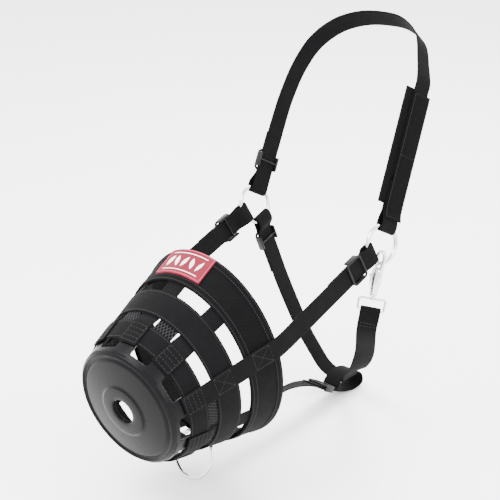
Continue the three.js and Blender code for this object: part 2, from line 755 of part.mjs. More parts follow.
function hook() {
  const reach = HOOK_INNER_RADIUS + HOOK_SECTION / 2;
  const path = [vec(3.5, 0, BARREL_TOP - 6), vec(5.2, 0, BARREL_TOP + 3), vec(reach, 0, -3)];
  for (let degrees = 0; degrees <= 180; degrees += 36) {
    path.push(vec(reach * Math.cos(rad(degrees)), 0, reach * Math.sin(rad(degrees))));
  }
  path.push(vec(-reach + 0.6, 0, HOOK_TIP));
  const section = new THREE.Shape().absarc(0, 0, HOOK_SECTION / 2, 0, 2 * Math.PI);
  return new THREE.ExtrudeGeometry(section, {
    extrudePath: new THREE.CatmullRomCurve3(path),
    steps: 30,
    curveSegments: 6,
  });
}
function barrel() {
  const profile = [
    [0, BARREL_BOTTOM],
    [5, BARREL_BOTTOM],
    [5.4, BARREL_BOTTOM + 3],
    [BARREL_RADIUS, BARREL_BOTTOM + 16],
    [BARREL_RADIUS, BARREL_TOP - 4],
    [BARREL_RADIUS - 1.5, BARREL_TOP],
    [0, BARREL_TOP],
  ];
  return turned(profile, 28).translate(BARREL_SHIFT, 0, 0);
}
const bore = rod(BOLT_RADIUS + GAP, BORE_BOTTOM, BARREL_TOP + 5, BOLT_SHIFT);
const slotTop = KNOB_HEIGHT + KNOB_RADIUS + GAP;
const slotBottom = KNOB_HEIGHT - BOLT_TRAVEL - KNOB_RADIUS - GAP;
const slotDepth = BARREL_RADIUS + 2;
const slot = box(
  2 * (KNOB_RADIUS + GAP),
  slotDepth,
  slotTop - slotBottom,
  BOLT_SHIFT,
  -slotDepth / 2,
  (slotTop + slotBottom) / 2,
);
const headLow = BARREL_BOTTOM + 3;
const headHigh = headLow + 1.6;
const swivelProfile = (play) => [
  [0, BARREL_BOTTOM - 6],
  [SWIVEL_STEM_RADIUS + play, BARREL_BOTTOM - 6],
  [SWIVEL_STEM_RADIUS + play, headLow - play],
  [SWIVEL_HEAD_RADIUS + play, headLow - play],
  [SWIVEL_HEAD_RADIUS + play, headHigh + play],
  [0, headHigh + play],
];
const socket = turned(swivelProfile(GAP), 24);
add(snap, "snap_body", cut(joined(barrel(), hook()), bore, slot, socket), chrome());

const knob = rod(KNOB_RADIUS, 0, BARREL_RADIUS + 0.8, 0, 0, 14)
  .rotateX(Math.PI / 2)
  .translate(BOLT_SHIFT, 0, KNOB_HEIGHT);
add(snap, "snap_bolt", joined(rod(BOLT_RADIUS, BOLT_BOTTOM, BOLT_TOP, BOLT_SHIFT), knob), chrome());

// A coil spring under the bolt.
function coilSpring() {
  const turns = SPRING_TURNS;
  const wire = SPRING_WIRE_RADIUS;
  const low = BORE_BOTTOM + GAP + wire;
  const high = BOLT_BOTTOM - GAP - wire;
  const path = [];
  const perTurn = 10;
  for (let i = 0; i <= turns * perTurn; i++) {
    const turn = (2 * Math.PI * i) / perTurn;
    const r = BOLT_RADIUS - wire;
    path.push(vec(r * Math.cos(turn), r * Math.sin(turn), low + ((high - low) * i) / (turns * perTurn)));
  }
  const section = new THREE.Shape().absarc(0, 0, wire, 0, 2 * Math.PI);
  return new THREE.ExtrudeGeometry(section, {
    extrudePath: new THREE.CatmullRomCurve3(path),
    steps: turns * perTurn,
    curveSegments: 3,
  }).translate(BOLT_SHIFT, 0, 0);
}
add(snap, "snap_spring", closed(coilSpring()), springSteel());

function roundedRectangle(path, width, height, corner) {
  const [w, h] = [width / 2, height / 2];
  path.moveTo(w - corner, -h);
  path.absarc(w - corner, -h + corner, corner, -Math.PI / 2, 0);
  path.absarc(w - corner, h - corner, corner, 0, Math.PI / 2);
  path.absarc(-w + corner, h - corner, corner, Math.PI / 2, Math.PI);
  path.absarc(-w + corner, -h + corner, corner, Math.PI, 1.5 * Math.PI);
  path.closePath();
  return path;
}
const eyeTop = BARREL_BOTTOM - 2.5;
function eye() {
  const outline = roundedRectangle(new THREE.Shape(), EYE_WIDTH, EYE_HEIGHT, EYE_CORNER);
  outline.holes.push(
    roundedRectangle(new THREE.Path(), EYE_WIDTH - 2 * EYE_WIRE, EYE_HEIGHT - 2 * EYE_WIRE, 1),
  );
  const flat = { depth: EYE_WIRE, bevelEnabled: false, curveSegments: 4 };
  const frame = new THREE.ExtrudeGeometry(outline, flat)
    .translate(0, 0, -EYE_WIRE / 2)
    .rotateX(Math.PI / 2)
    .translate(0, 0, eyeTop - EYE_HEIGHT / 2);
  return joined(frame, turned(swivelProfile(0), 20));
}
const eyeMesh = add(snap, "snap_eye", eye(), chrome());
eyeMesh.rotation.z = rad(EYE_TURN);

// ---- Throat strap --------------------------------------------------------------------------

// From the snap's eye, down under the jaw and up to the far ring.
snap.updateMatrixWorld(true);
const eyeBar = eyeMesh.localToWorld(vec(0, 0, eyeTop - EYE_HEIGHT + EYE_WIRE / 2));
const eyeAcross = eyeMesh.localToWorld(vec(1, 0, 0)).sub(eyeMesh.localToWorld(vec(0, 0, 0))).negate();
const eyeFace = eyeMesh.localToWorld(vec(0, 1, 0)).sub(eyeMesh.localToWorld(vec(0, 0, 0)));
const eyeTurnRadius = EYE_WIRE * 0.75 + GAP + WEB_THICK / 2;
const atEye = (drop, lift) =>
  station(eyeBar.clone().addScaledVector(snapUp, -drop).addScaledVector(eyeFace, lift), eyeAcross);
const eyeTurn = [];
for (let degrees = -90; degrees <= 90; degrees += 45) {
  const turn = rad(degrees);
  eyeTurn.push(atEye(-eyeTurnRadius * Math.cos(turn), -eyeTurnRadius * Math.sin(turn)));
}
const fromJaw = (sign, [past, back, up]) =>
  vec(sign * (WEB_WIDTH / 2 + past), JAW_BACK + back, JAW_DROP + up);
const farThroat = ringFrame(farRing, vec(-0.82 * RING_HALF_SPAN, RING_BACK + 34, RING_HEIGHT - 113));
const throatTail = tailReach(THROAT_SLIDER_REACH, SLIDER_TRAVEL);
const throatStations = [
  atEye(EYE_LEG_END, PITCH),
  atEye(EYE_LEG_START, eyeTurnRadius),
  ...eyeTurn,
  atEye(EYE_LEG_START, -eyeTurnRadius + 1),
  atEye(EYE_LEG_END, 0),
  ...THROAT_NEAR_DROP.map((offset, i) =>
    station(fromJaw(1, offset), eyeAcross.clone().lerp(FORWARD, Math.min(i / 2, 1))),
  ),
  station(vec(0, JAW_BACK, JAW_DROP), FORWARD),
  ...THROAT_FAR_RISE.map((offset) => station(fromJaw(-1, offset), FORWARD)),
  beside(farThroat, throatTail + 16, PITCH / 2),
  beside(farThroat, throatTail, PITCH / 2),
  beside(farThroat, THROAT_SLIDER_REACH, PITCH / 2),
  beside(farThroat, LEG_CLOSED, PITCH / 2),
  ...ringTurn(farThroat),
  beside(farThroat, LEG_CLOSED, -PITCH / 2),
  beside(farThroat, THROAT_SLIDER_REACH, -PITCH / 2),
  beside(farThroat, throatTail, -PITCH / 2),
];
add(muzzle, "throat_strap", strap(throatStations), webbing());
addSlider(
  "throat_slider",
  beside(farThroat, THROAT_SLIDER_REACH, PITCH / 2).at,
  farThroat.across,
  farThroat.face.clone().negate(),
  1,
);

// ---- Chin strap ----------------------------------------------------------------------------

// From inside the noseband's lowest point, back to a loose loop round the throat strap.
const chin = (y, z, roll = 0) => station(vec(0, y, z), vec(Math.cos(rad(roll)), 0, Math.sin(rad(roll))));
const sewn = (s) => station(basketPoint(s, Math.PI, layer(-1)), X, sewnBow);
const straightEnd = [JAW_BACK - CHIN_STRAIGHT.past * WEB_WIDTH, JAW_DROP - CHIN_STRAIGHT.drop];
const straightStart = [straightEnd[0] - CHIN_STRAIGHT.length, straightEnd[1] + CHIN_STRAIGHT.rise];
const chinAlong = vec(0, straightEnd[0] - straightStart[0], straightEnd[1] - straightStart[1]).normalize();
const chinFace = chinAlong.clone().cross(X);
function chinStretch(share, lift) {
  const at = vec(
    0,
    THREE.MathUtils.lerp(straightStart[0], straightEnd[0], share),
    THREE.MathUtils.lerp(straightStart[1], straightEnd[1], share),
  );
  return station(at.addScaledVector(chinFace, lift), X);
}
const chinStations = [
  sewn(34),
  sewn(20),
  sewn(10),
  sewn(0),
  ...CHIN_SLACK.map(([back, up, roll]) => chin(back, up, roll)),
  chinStretch(0, 0),
  chinStretch(CHIN_SLIDER_BACK, 0),
  chinStretch(1, 0),
  ...CHIN_LOOP.map(([back, up]) => chin(JAW_BACK + back * WEB_WIDTH, JAW_DROP + up)),
  chinStretch(0.96, -PITCH),
  chinStretch(CHIN_SLIDER_BACK, -PITCH),
  chinStretch(0.05, -PITCH),
];
add(muzzle, "chin_strap", strap(chinStations, { columns: 4 }), webbing());
addSlider("chin_slider", chinStretch(CHIN_SLIDER_BACK, 0).at, X, chinFace.clone().negate(), 1);

export default muzzle;
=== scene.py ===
"""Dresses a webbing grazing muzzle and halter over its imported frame, and sets it in a soft studio."""

import logging
import math
from dataclasses import dataclass, field
from enum import Enum
from typing import Callable, Optional, Sequence

import bmesh
import bpy
from mathutils import Matrix, Vector


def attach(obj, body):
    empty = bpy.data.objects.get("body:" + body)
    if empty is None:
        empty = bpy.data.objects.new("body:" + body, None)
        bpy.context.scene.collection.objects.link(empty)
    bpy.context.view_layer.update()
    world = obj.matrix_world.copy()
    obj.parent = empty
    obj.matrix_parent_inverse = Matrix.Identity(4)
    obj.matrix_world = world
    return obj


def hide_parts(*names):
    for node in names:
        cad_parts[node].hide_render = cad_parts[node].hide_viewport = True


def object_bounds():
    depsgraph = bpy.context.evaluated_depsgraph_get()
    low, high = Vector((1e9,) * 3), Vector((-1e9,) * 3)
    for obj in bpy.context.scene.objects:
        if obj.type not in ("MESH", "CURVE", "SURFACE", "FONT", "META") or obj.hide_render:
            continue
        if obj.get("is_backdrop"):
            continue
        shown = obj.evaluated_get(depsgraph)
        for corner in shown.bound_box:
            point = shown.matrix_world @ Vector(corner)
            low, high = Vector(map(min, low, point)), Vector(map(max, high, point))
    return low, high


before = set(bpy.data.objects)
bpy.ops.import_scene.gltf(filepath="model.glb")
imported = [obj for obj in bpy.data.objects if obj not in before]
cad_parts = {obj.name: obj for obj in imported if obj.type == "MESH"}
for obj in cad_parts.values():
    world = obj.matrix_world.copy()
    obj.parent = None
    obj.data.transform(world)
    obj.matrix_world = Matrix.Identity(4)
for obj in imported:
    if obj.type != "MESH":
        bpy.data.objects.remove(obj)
cad_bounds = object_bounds()

log = logging.getLogger("muzzle")

MM = 0.001
X_AXIS = Vector((1, 0, 0))
Y_AXIS = Vector((0, 1, 0))
Z_AXIS = Vector((0, 0, 1))


# ---- Sizes shared by several pieces, in millimetres -----------------------------------------


@dataclass(frozen=True)
class Stock:
    """Sizes of the webbing and wire that the whole halter is made from.

    Attributes:
        width: Width of the webbing.
        thick: Thickness of the webbing.
        gap: Clearance between pieces that touch.
        wire: Diameter of the ring wire.
        inset: Distance from the edge to a seam.
        thread: Lift of a seam off the face.
    """

    width: float = 25.0
    thick: float = 1.6
    gap: float = 0.3
    wire: float = 5.0
    inset: float = 2.2
    thread: float = 0.08

    @property
    def pitch(self) -> float:
        """Distance from one layer of webbing to the next."""
        return self.thick + self.gap

    @property
    def face(self) -> float:
        """Distance from the webbing's middle to its face."""
        return self.thick / 2

    @property
    def seam(self) -> float:
        """Distance from the webbing's centre line to a seam by its edge."""
        return self.width / 2 - self.inset

    def layer(self, k: int) -> float:
        """Gives the lift of the middle of a webbing layer."""
        return k * self.pitch + self.thick / 2


STOCK = Stock()


@dataclass(frozen=True)
class BasketShape:
    """The tapering oval that every basket piece is laid on.

    Attributes:
        half_width: Half-width at the mouth.
        half_height: Half-height at the mouth.
        cup_radius: Radius at the cup's lip.
        length: Distance from the mouth to the lip.
        drop: Degrees that the nose end points down.
    """

    half_width: float = 104.0
    half_height: float = 125.0
    cup_radius: float = 73.5
    length: float = 150.5
    drop: float = 10.0

    @property
    def axis(self) -> Vector:
        """Gives the direction from the mouth to the cup."""
        lean = math.radians(self.drop)
        return Vector((0, -math.cos(lean), -math.sin(lean)))

    @property
    def up(self) -> Vector:
        """Gives the direction from the basket's middle to its top."""
        lean = math.radians(self.drop)
        return Vector((0, -math.sin(lean), math.cos(lean)))

    def girth(self, s: float) -> tuple[float, float]:
        """Gives the oval's half-width and half-height.

        Args:
            s: Distance forward of the mouth.

        Returns:
            Half-width and half-height.
        """
        k = s / self.length
        return (
            self.half_width + (self.cup_radius - self.half_width) * k,
            self.half_height + (self.cup_radius - self.half_height) * k,
        )

    def point(self, s: float, angle: float, lift: float = 0.0) -> Vector:
        """Gives a point on the basket.

        Args:
            s: Distance forward of the mouth.
            angle: Radians round from the top, towards the near side.
            lift: Distance off the surface.

        Returns:
            The point in millimetres.
        """
        a, b = self.girth(s)
        across = X_AXIS * ((a + lift) * math.sin(angle))
        return self.axis * s + across + self.up * ((b + lift) * math.cos(angle))

    def around(self, s: float, angle: float) -> Vector:
        """Gives the step round the basket for one radian at a point."""
        a, b = self.girth(s)
        return X_AXIS * (a * math.cos(angle)) - self.up * (b * math.sin(angle))


BASKET = BasketShape()


# ---- Curves and ribbons ---------------------------------------------------------------------


def smooth_point(points: Sequence[Vector], t: float) -> Vector:
    """Evaluates a centripetal spline through points.

    Args:
        points: The points that the spline passes through.
        t: Place along the spline from 0 to 1, even in spans.

    Returns:
        The point on the spline.
    """
    last = len(points) - 1
    place = min(max(t, 0.0), 1.0) * last
    i = min(int(place), last - 1)
    w = place - i
    p1, p2 = points[i], points[i + 1]
    p0 = points[i - 1] if i > 0 else p1 * 2 - p2
    p3 = points[i + 2] if i + 2 <= last else p2 * 2 - p1
    d0 = max((p1 - p0).length, 1e-6) ** 0.5
    d1 = max((p2 - p1).length, 1e-6) ** 0.5
    d2 = max((p3 - p2).length, 1e-6) ** 0.5
    m1 = ((p1 - p0) / d0 - (p2 - p0) / (d0 + d1) + (p2 - p1) / d1) * d1
    m2 = ((p2 - p1) / d1 - (p3 - p1) / (d1 + d2) + (p3 - p2) / d2) * d1
    w2, w3 = w * w, w * w * w
    return (
        p1 * (2 * w3 - 3 * w2 + 1)
        + m1 * (w3 - 2 * w2 + w)
        + p2 * (3 * w2 - 2 * w3)
        + m2 * (w3 - w2)
    )


@dataclass(frozen=True)
class Station:
    """A place that a strap passes, and how it lies there.

    Attributes:
        at: Middle of the strap.
        across: Direction of the strap's width.
        bow: How strongly its section is bowed.
    """

    at: Vector
    across: Vector
    bow: float = 0.0


class Ribbon:
    """A strip in space, measured along, across and off its middle surface."""

    def __init__(self, place: Callable[[float, float, float], Vector], samples: int = 240) -> None:
        """Measures the strip.

        Args:
            place: Gives a point from a share along, millimetres across and millimetres off.
            samples: How finely the length is measured.
        """
        self._place = place
        self._table = [0.0]
        before = place(0, 0, 0)
        for i in range(1, samples + 1):
            here = place(i / samples, 0, 0)
            self._table.append(self._table[-1] + (here - before).length)
            before = here
        self.length = self._table[-1]

    def point(self, along: float, across: float = 0.0, lift: float = 0.0) -> Vector:
        """Gives a point of the strip."""
        return self._place(self._share(along), across, lift)

    def _share(self, along: float) -> float:
        """Turns a distance into a share of the strip.

        Args:
            along: Millimetres from the strip's start.

        Returns:
            A share from 0 to 1.
        """
        table = self._table
        if along <= 0:
            return 0.0
        if along >= self.length:
            return 1.0
        low, high = 0, len(table) - 1
        while high - low > 1:
            middle = (low + high) // 2
            if table[middle] <= along:
                low = middle
            else:
                high = middle
        part = (along - table[low]) / max(table[high] - table[low], 1e-9)
        return (low + part) / (len(table) - 1)


def free_ribbon(stations: Sequence[Station], shift: float = 0.0) -> Ribbon:
    """Makes a strip that runs through stations.

    Args:
        stations: The places it passes.
        shift: Millimetres that it stands to one side.

    Returns:
        The strip.
    """
    points = [s.at for s in stations]
    spans = len(points) - 1
    cache: dict[float, tuple[Vector, Vector, Vector, float]] = {}

    def lie(t: float) -> tuple[Vector, Vector, Vector, float]:
        if t not in cache:
            e = 1e-4
            along = (smooth_point(points, t + e) - smooth_point(points, t - e)).normalized()
            u = t * spans
            i = min(int(u), spans - 1)
            across = stations[i].across.lerp(stations[i + 1].across, u - i)
            across = (across - along * across.dot(along)).normalized()
            bow = stations[i].bow + (stations[i + 1].bow - stations[i].bow) * (u - i)
            cache[t] = (smooth_point(points, t), across, along.cross(across), bow)
        return cache[t]

    def place(t: float, across: float, lift: float) -> Vector:
        at, side, face, bow = lie(t)
        return at + side * (across + shift) + face * (lift - bow * across**2 / 2)

    return Ribbon(place)


def basket_ribbon(angle: float, route: Sequence[tuple[float, float]]) -> Ribbon:
    """Makes a strip that lies on the basket and keeps its width.

    Args:
        angle: Degrees round from the top.
        route: Distances forward of the mouth with the lift at each.

    Returns:
        The strip.
    """
    turn = math.radians(angle)
    points = [Vector((s, lift, 0)) for s, lift in route]

    def place(t: float, across: float, lift: float) -> Vector:
        s, base, _ = smooth_point(points, t)
        radians = across / BASKET.around(s, turn).length
        return BASKET.point(s, turn + radians, base + lift)

    return Ribbon(place, 80)


def band_ribbon(start: float, end: float, lift: float) -> Ribbon:
    """Makes a strip that goes right round the basket.

    Args:
        start: Distance from the mouth to its rear edge.
        end: Distance from the mouth to its front edge.
        lift: Lift of its middle surface.

    Returns:
        The strip, starting and ending underneath.
    """
    middle = (start + end) / 2

    def place(t: float, across: float, off: float) -> Vector:
        return BASKET.point(middle + across, math.pi + 2 * math.pi * t, lift + off)

    return Ribbon(place, 360)


# ---- Meshes ---------------------------------------------------------------------------------


def make_object(
    name: str, vertices: Sequence[Vector], faces: Sequence[Sequence[int]],
    uvs: Optional[Sequence[tuple[float, float]]] = None, scale: float = MM,
) -> bpy.types.Object:
    """Makes a smooth-shaded mesh object.

    Args:
        name: The object's name.
        vertices: Points in millimetres.
        faces: Vertex numbers of each face.
        uvs: One texture place per vertex, in metres of cloth.
        scale: Metres per unit.

    Returns:
        The object, linked to the scene.
    """
    name = name.replace(" ", "_").lower()
    mesh = bpy.data.meshes.new(name)
    mesh.from_pydata([v * scale for v in vertices], [], [list(f) for f in faces])
    mesh.polygons.foreach_set("use_smooth", [True] * len(mesh.polygons))
    if uvs is not None:
        layer = mesh.uv_layers.new(name="Cloth")
        flat: list[float] = []
        for loop in mesh.loops:
            flat.extend(uvs[loop.vertex_index])
        layer.data.foreach_set("uv", flat)
    mesh.update()
    made = bpy.data.objects.new(name, mesh)
    bpy.context.scene.collection.objects.link(made)
    return made


@dataclass(frozen=True)
class Thread:
    """How a seam is sewn.

    Attributes:
        stitch: Length of one stitch.
        space: Distance from one stitch's start to the next.
        width: Width of the thread.
        rise: How far a stitch stands up.
    """

    stitch: float = 3.0
    space: float = 3.8
    width: float = 0.75
    rise: float = 0.42


THREAD = Thread()


def section(width: float, thick: float, columns: int = 8, crown: float = 0.0) -> list[tuple[float, float]]:
    """Outlines a strap's section with rounded edges.

    Args:
        width: Width of the strap.
        thick: Thickness of the strap.
        columns: Divisions across each face.
        crown: How much the faces swell in the middle.

    Returns:
        Places across and off the middle surface, anticlockwise.
    """
    half = thick / 2
    inner = width / 2 - half * 0.8
    outline: list[tuple[float, float]] = []
    for i in range(columns + 1):
        x = -inner + 2 * inner * i / columns
        outline.append((x, -half - crown * (1 - (x / inner) ** 2)))
    for turn in map(math.radians, (-45, 0, 45)):
        outline.append((inner + half * 0.8 * math.cos(turn), half * math.sin(turn)))
    for i in range(columns + 1):
        x = inner - 2 * inner * i / columns
        outline.append((x, half + crown * (1 - (x / inner) ** 2)))
    for turn in map(math.radians, (135, 180, 225)):
        outline.append((-inner + half * 0.8 * math.cos(turn), half * math.sin(turn)))
    return outline


class Lump:
    """Collects the vertices, faces and texture places of one mesh.

    Attributes:
        STITCH: Share along, spread and lift of each row of a stitch.
    """

    STITCH = ((0, 0.35, 0), (0.22, 1, 0.85), (0.5, 1, 1), (0.78, 1, 0.85), (1, 0.35, 0))

    def __init__(self) -> None:
        """Starts an empty lump."""
        self.vertices: list[Vector] = []
        self.faces: list[list[int]] = []
        self.uvs: list[tuple[float, float]] = []

    def grid(
        self, rows: Sequence[Sequence[Vector]], uvs: Sequence[Sequence[tuple[float, float]]],
        wrap: bool = True, caps: bool = True, loop: bool = False,
    ) -> None:
        """Adds a skin over rows of points.

        Args:
            rows: Equal rows of points.
            uvs: Texture places of the same points.
            wrap: Whether each row closes on itself.
            caps: Whether the first and last rows are capped.
            loop: Whether the last row joins the first.
        """
        base = len(self.vertices)
        count = len(rows[0])
        for row, places in zip(rows, uvs):
            self.vertices.extend(row)
            self.uvs.extend(places)
        pairs = [(i, i + 1) for i in range(len(rows) - 1)]
        if loop:
            pairs.append((len(rows) - 1, 0))
        for i, j in pairs:
            for k in range(count if wrap else count - 1):
                m = (k + 1) % count
                self.faces.append(
                    [base + i * count + k, base + i * count + m, base + j * count + m, base + j * count + k]
                )
        if caps and not loop:
            self.faces.append([base + k for k in reversed(range(count))])
            last = base + (len(rows) - 1) * count
            self.faces.append([last + k for k in range(count)])

    def bead(self, a: Vector, b: Vector, out: Vector, width: float, rise: float) -> None:
        """Adds one stitch.

        Args:
            a: Where the thread comes up.
            b: Where it goes down.
            out: Direction off the cloth.
            width: The thread's width.
            rise: How far it stands up.
        """
        base = len(self.vertices)
        along = b - a
        side = along.cross(out).normalized() * (width / 2)
        top = out * rise
        sink = out * (-0.25 * rise)
        for share, spread, lift in self.STITCH:
            middle = a + along * share
            crest = middle + top * lift + sink * 0.1
            self.vertices.extend([middle - side * spread + sink, crest, middle + side * spread + sink])
            self.uvs.extend([(0, share * MM), (width * MM / 2, share * MM), (width * MM, share * MM)])
        for i in range(4):
            p = base + 3 * i
            self.faces.append([p, p + 1, p + 4, p + 3])
            self.faces.append([p + 1, p + 2, p + 5, p + 4])

    def strap(
        self, ribbon: Ribbon, width: float = STOCK.width, thick: float = STOCK.thick, start: float = 0.0,
        end: Optional[float] = None, step: float = 2.5, columns: int = 8, crown: float = 0.0,
        loop: bool = False,
    ) -> None:
        """Adds a strap along a strip.

        Args:
            ribbon: The strip.
            width: Width of the strap.
            thick: Thickness of the strap.
            start: Millimetres along where it starts.
            end: Millimetres along where it ends, or None for the strip's end.
            step: Millimetres between rows.
            columns: Divisions across.
            crown: How much its faces swell.
            loop: Whether it closes on itself.
        """
        end = ribbon.length if end is None else end
        outline = section(width, thick, columns, crown)
        count = max(2, round((end - start) / step))
        rows: list[list[Vector]] = []
        uvs: list[list[tuple[float, float]]] = []
        for i in range(count if loop else count + 1):
            along = start + (end - start) * i / count
            rows.append([ribbon.point(along, x, y) for x, y in outline])
            uvs.append([(x * MM, along * MM) for x, _ in outline])
        self.grid(rows, uvs, loop=loop)

    def sew(
        self, ribbon: Ribbon, path: Sequence[tuple[float, float]], lift: float, thread: Thread = THREAD,
    ) -> None:
        """Adds a seam along a path on a strip.

        Args:
            ribbon: The strip that is sewn.
            path: Places along and across that the seam passes.
            lift: Lift of the surface that the thread lies on.
            thread: How the seam is sewn.
        """
        sign = 1 if lift >= 0 else -1
        for (a0, x0), (a1, x1) in zip(path, path[1:]):
            reach = math.hypot(a1 - a0, x1 - x0)
            count = max(1, round(reach / thread.space))
            for i in range(count):
                k0 = (i + 0.5) / count - thread.stitch / 2 / reach
                k1 = (i + 0.5) / count + thread.stitch / 2 / reach
                p = (a0 + (a1 - a0) * k0, x0 + (x1 - x0) * k0)
                q = (a0 + (a1 - a0) * k1, x0 + (x1 - x0) * k1)
                a = ribbon.point(p[0], p[1], lift)
                b = ribbon.point(q[0], q[1], lift)
                out = (ribbon.point(p[0], p[1], lift + sign) - a).normalized()
                self.bead(a, b, out, thread.width, thread.rise)

    def bar(
        self, path: Sequence[Vector], radius: Callable[[float], float], sides: int = 14,
        loop: bool = False, flat: float = 1.0, hint: Vector = Z_AXIS,
    ) -> None:
        """Adds a round bar along a path.

        Args:
            path: Points along the bar's middle.
            radius: Radius at a share of the length.
            sides: Sides of the section.
            loop: Whether the bar closes on itself.
            flat: Depth of the section over its width.
            hint: A direction that the section's depth keeps to.
        """
        rows: list[list[Vector]] = []
        uvs: list[list[tuple[float, float]]] = []
        count = len(path)
        run = 0.0
        for i, at in enumerate(path):
            before = path[(i - 1) % count] if loop or i else at
            after = path[(i + 1) % count] if loop or i + 1 < count else at
            along = (after - before).normalized()
            side = hint.cross(along)
            if side.length < 1e-3:
                side = X_AXIS.cross(along)
            side.normalize()
            deep = along.cross(side)
            run += (at - path[i - 1]).length if i else 0.0
            r = radius(i / max(count - 1, 1))
            row = []
            for k in range(sides):
                turn = 2 * math.pi * k / sides
                row.append(at + side * (r * math.cos(turn)) + deep * (r * flat * math.sin(turn)))
            rows.append(row)
            uvs.append([(k / sides * 2 * math.pi * r * MM, run * MM) for k in range(sides)])
        self.grid(rows, uvs, loop=loop)

    def turned(
        self, profile: Sequence[tuple[float, float]], centre: Vector, along: Vector, side: Vector,
        sides: int = 48,
    ) -> None:
        """Adds a turned shape.

        Args:
            profile: Radius and height of each corner.
            centre: Where the height is nought.
            along: The axis.
            side: A direction square to the axis.
            sides: Divisions round the axis.
        """
        other = along.cross(side)
        rows: list[list[Vector]] = []
        uvs: list[list[tuple[float, float]]] = []
        for r, h in profile:
            r = max(r, 1e-3)
            row = []
            for k in range(sides):
                turn = 2 * math.pi * k / sides
                row.append(centre + along * h + side * (r * math.cos(turn)) + other * (r * math.sin(turn)))
            rows.append(row)
            uvs.append([(2 * math.pi * k / sides * 0.01, (h + r) * MM) for k in range(sides)])
        self.grid(rows, uvs)

    def block(
        self,
        centre: Vector,
        axes: tuple[Vector, Vector, Vector],
        size: tuple[float, float, float],
        edge: float,
    ) -> None:
        """Adds a block with rounded edges.

        Args:
            centre: The block's middle.
            axes: Its three directions.
            size: Its three sizes.
            edge: Radius of its edges.
        """
        work = bmesh.new()
        bmesh.ops.create_cube(work, size=1.0)
        for v in work.verts:
            v.co = Vector((v.co.x * size[0], v.co.y * size[1], v.co.z * size[2]))
        bmesh.ops.bevel(work, geom=list(work.edges), offset=edge, segments=3, affect="EDGES", profile=0.5)
        base = len(self.vertices)
        work.verts.index_update()
        for v in work.verts:
            self.vertices.append(centre + axes[0] * v.co.x + axes[1] * v.co.y + axes[2] * v.co.z)
            self.uvs.append((v.co.x * MM, v.co.z * MM))
        for f in work.faces:
            self.faces.append([base + v.index for v in f.verts])
        work.free()

    def build(self, name: str) -> bpy.types.Object:
        """Makes the object.

        Args:
            name: The object's name.

        Returns:
            The object.
        """
        made = make_object(name, self.vertices, self.faces, self.uvs)
        work = bmesh.new()
        work.from_mesh(made.data)
        bmesh.ops.recalc_face_normals(work, faces=work.faces)
        work.to_mesh(made.data)
        work.free()
        return made


def box_seam(start: float, end: float, half: float) -> list[tuple[float, float]]:
    """Gives the path of a boxed cross seam."""
    corners = [(start, -half), (end, -half), (end, half), (start, half), (start, -half)]
    return corners + [(end, half), (end, -half), (start, half)]


def ring_path(centre: Vector, normal: Vector, radius: float, count: int = 72) -> list[Vector]:
    """Gives the centre line of a ring.

    Args:
        centre: The ring's centre.
        normal: The ring's axis.
        radius: The centre line's radius.
        count: How many points.

    Returns:
        Points round the ring.
    """
    side = normal.orthogonal().normalized()
    other = normal.cross(side)
    return [
        centre
        + side * (radius * math.cos(2 * math.pi * i / count))
        + other * (radius * math.sin(2 * math.pi * i / count))
        for i in range(count)
    ]


# ---- Finishes -------------------------------------------------------------------------------


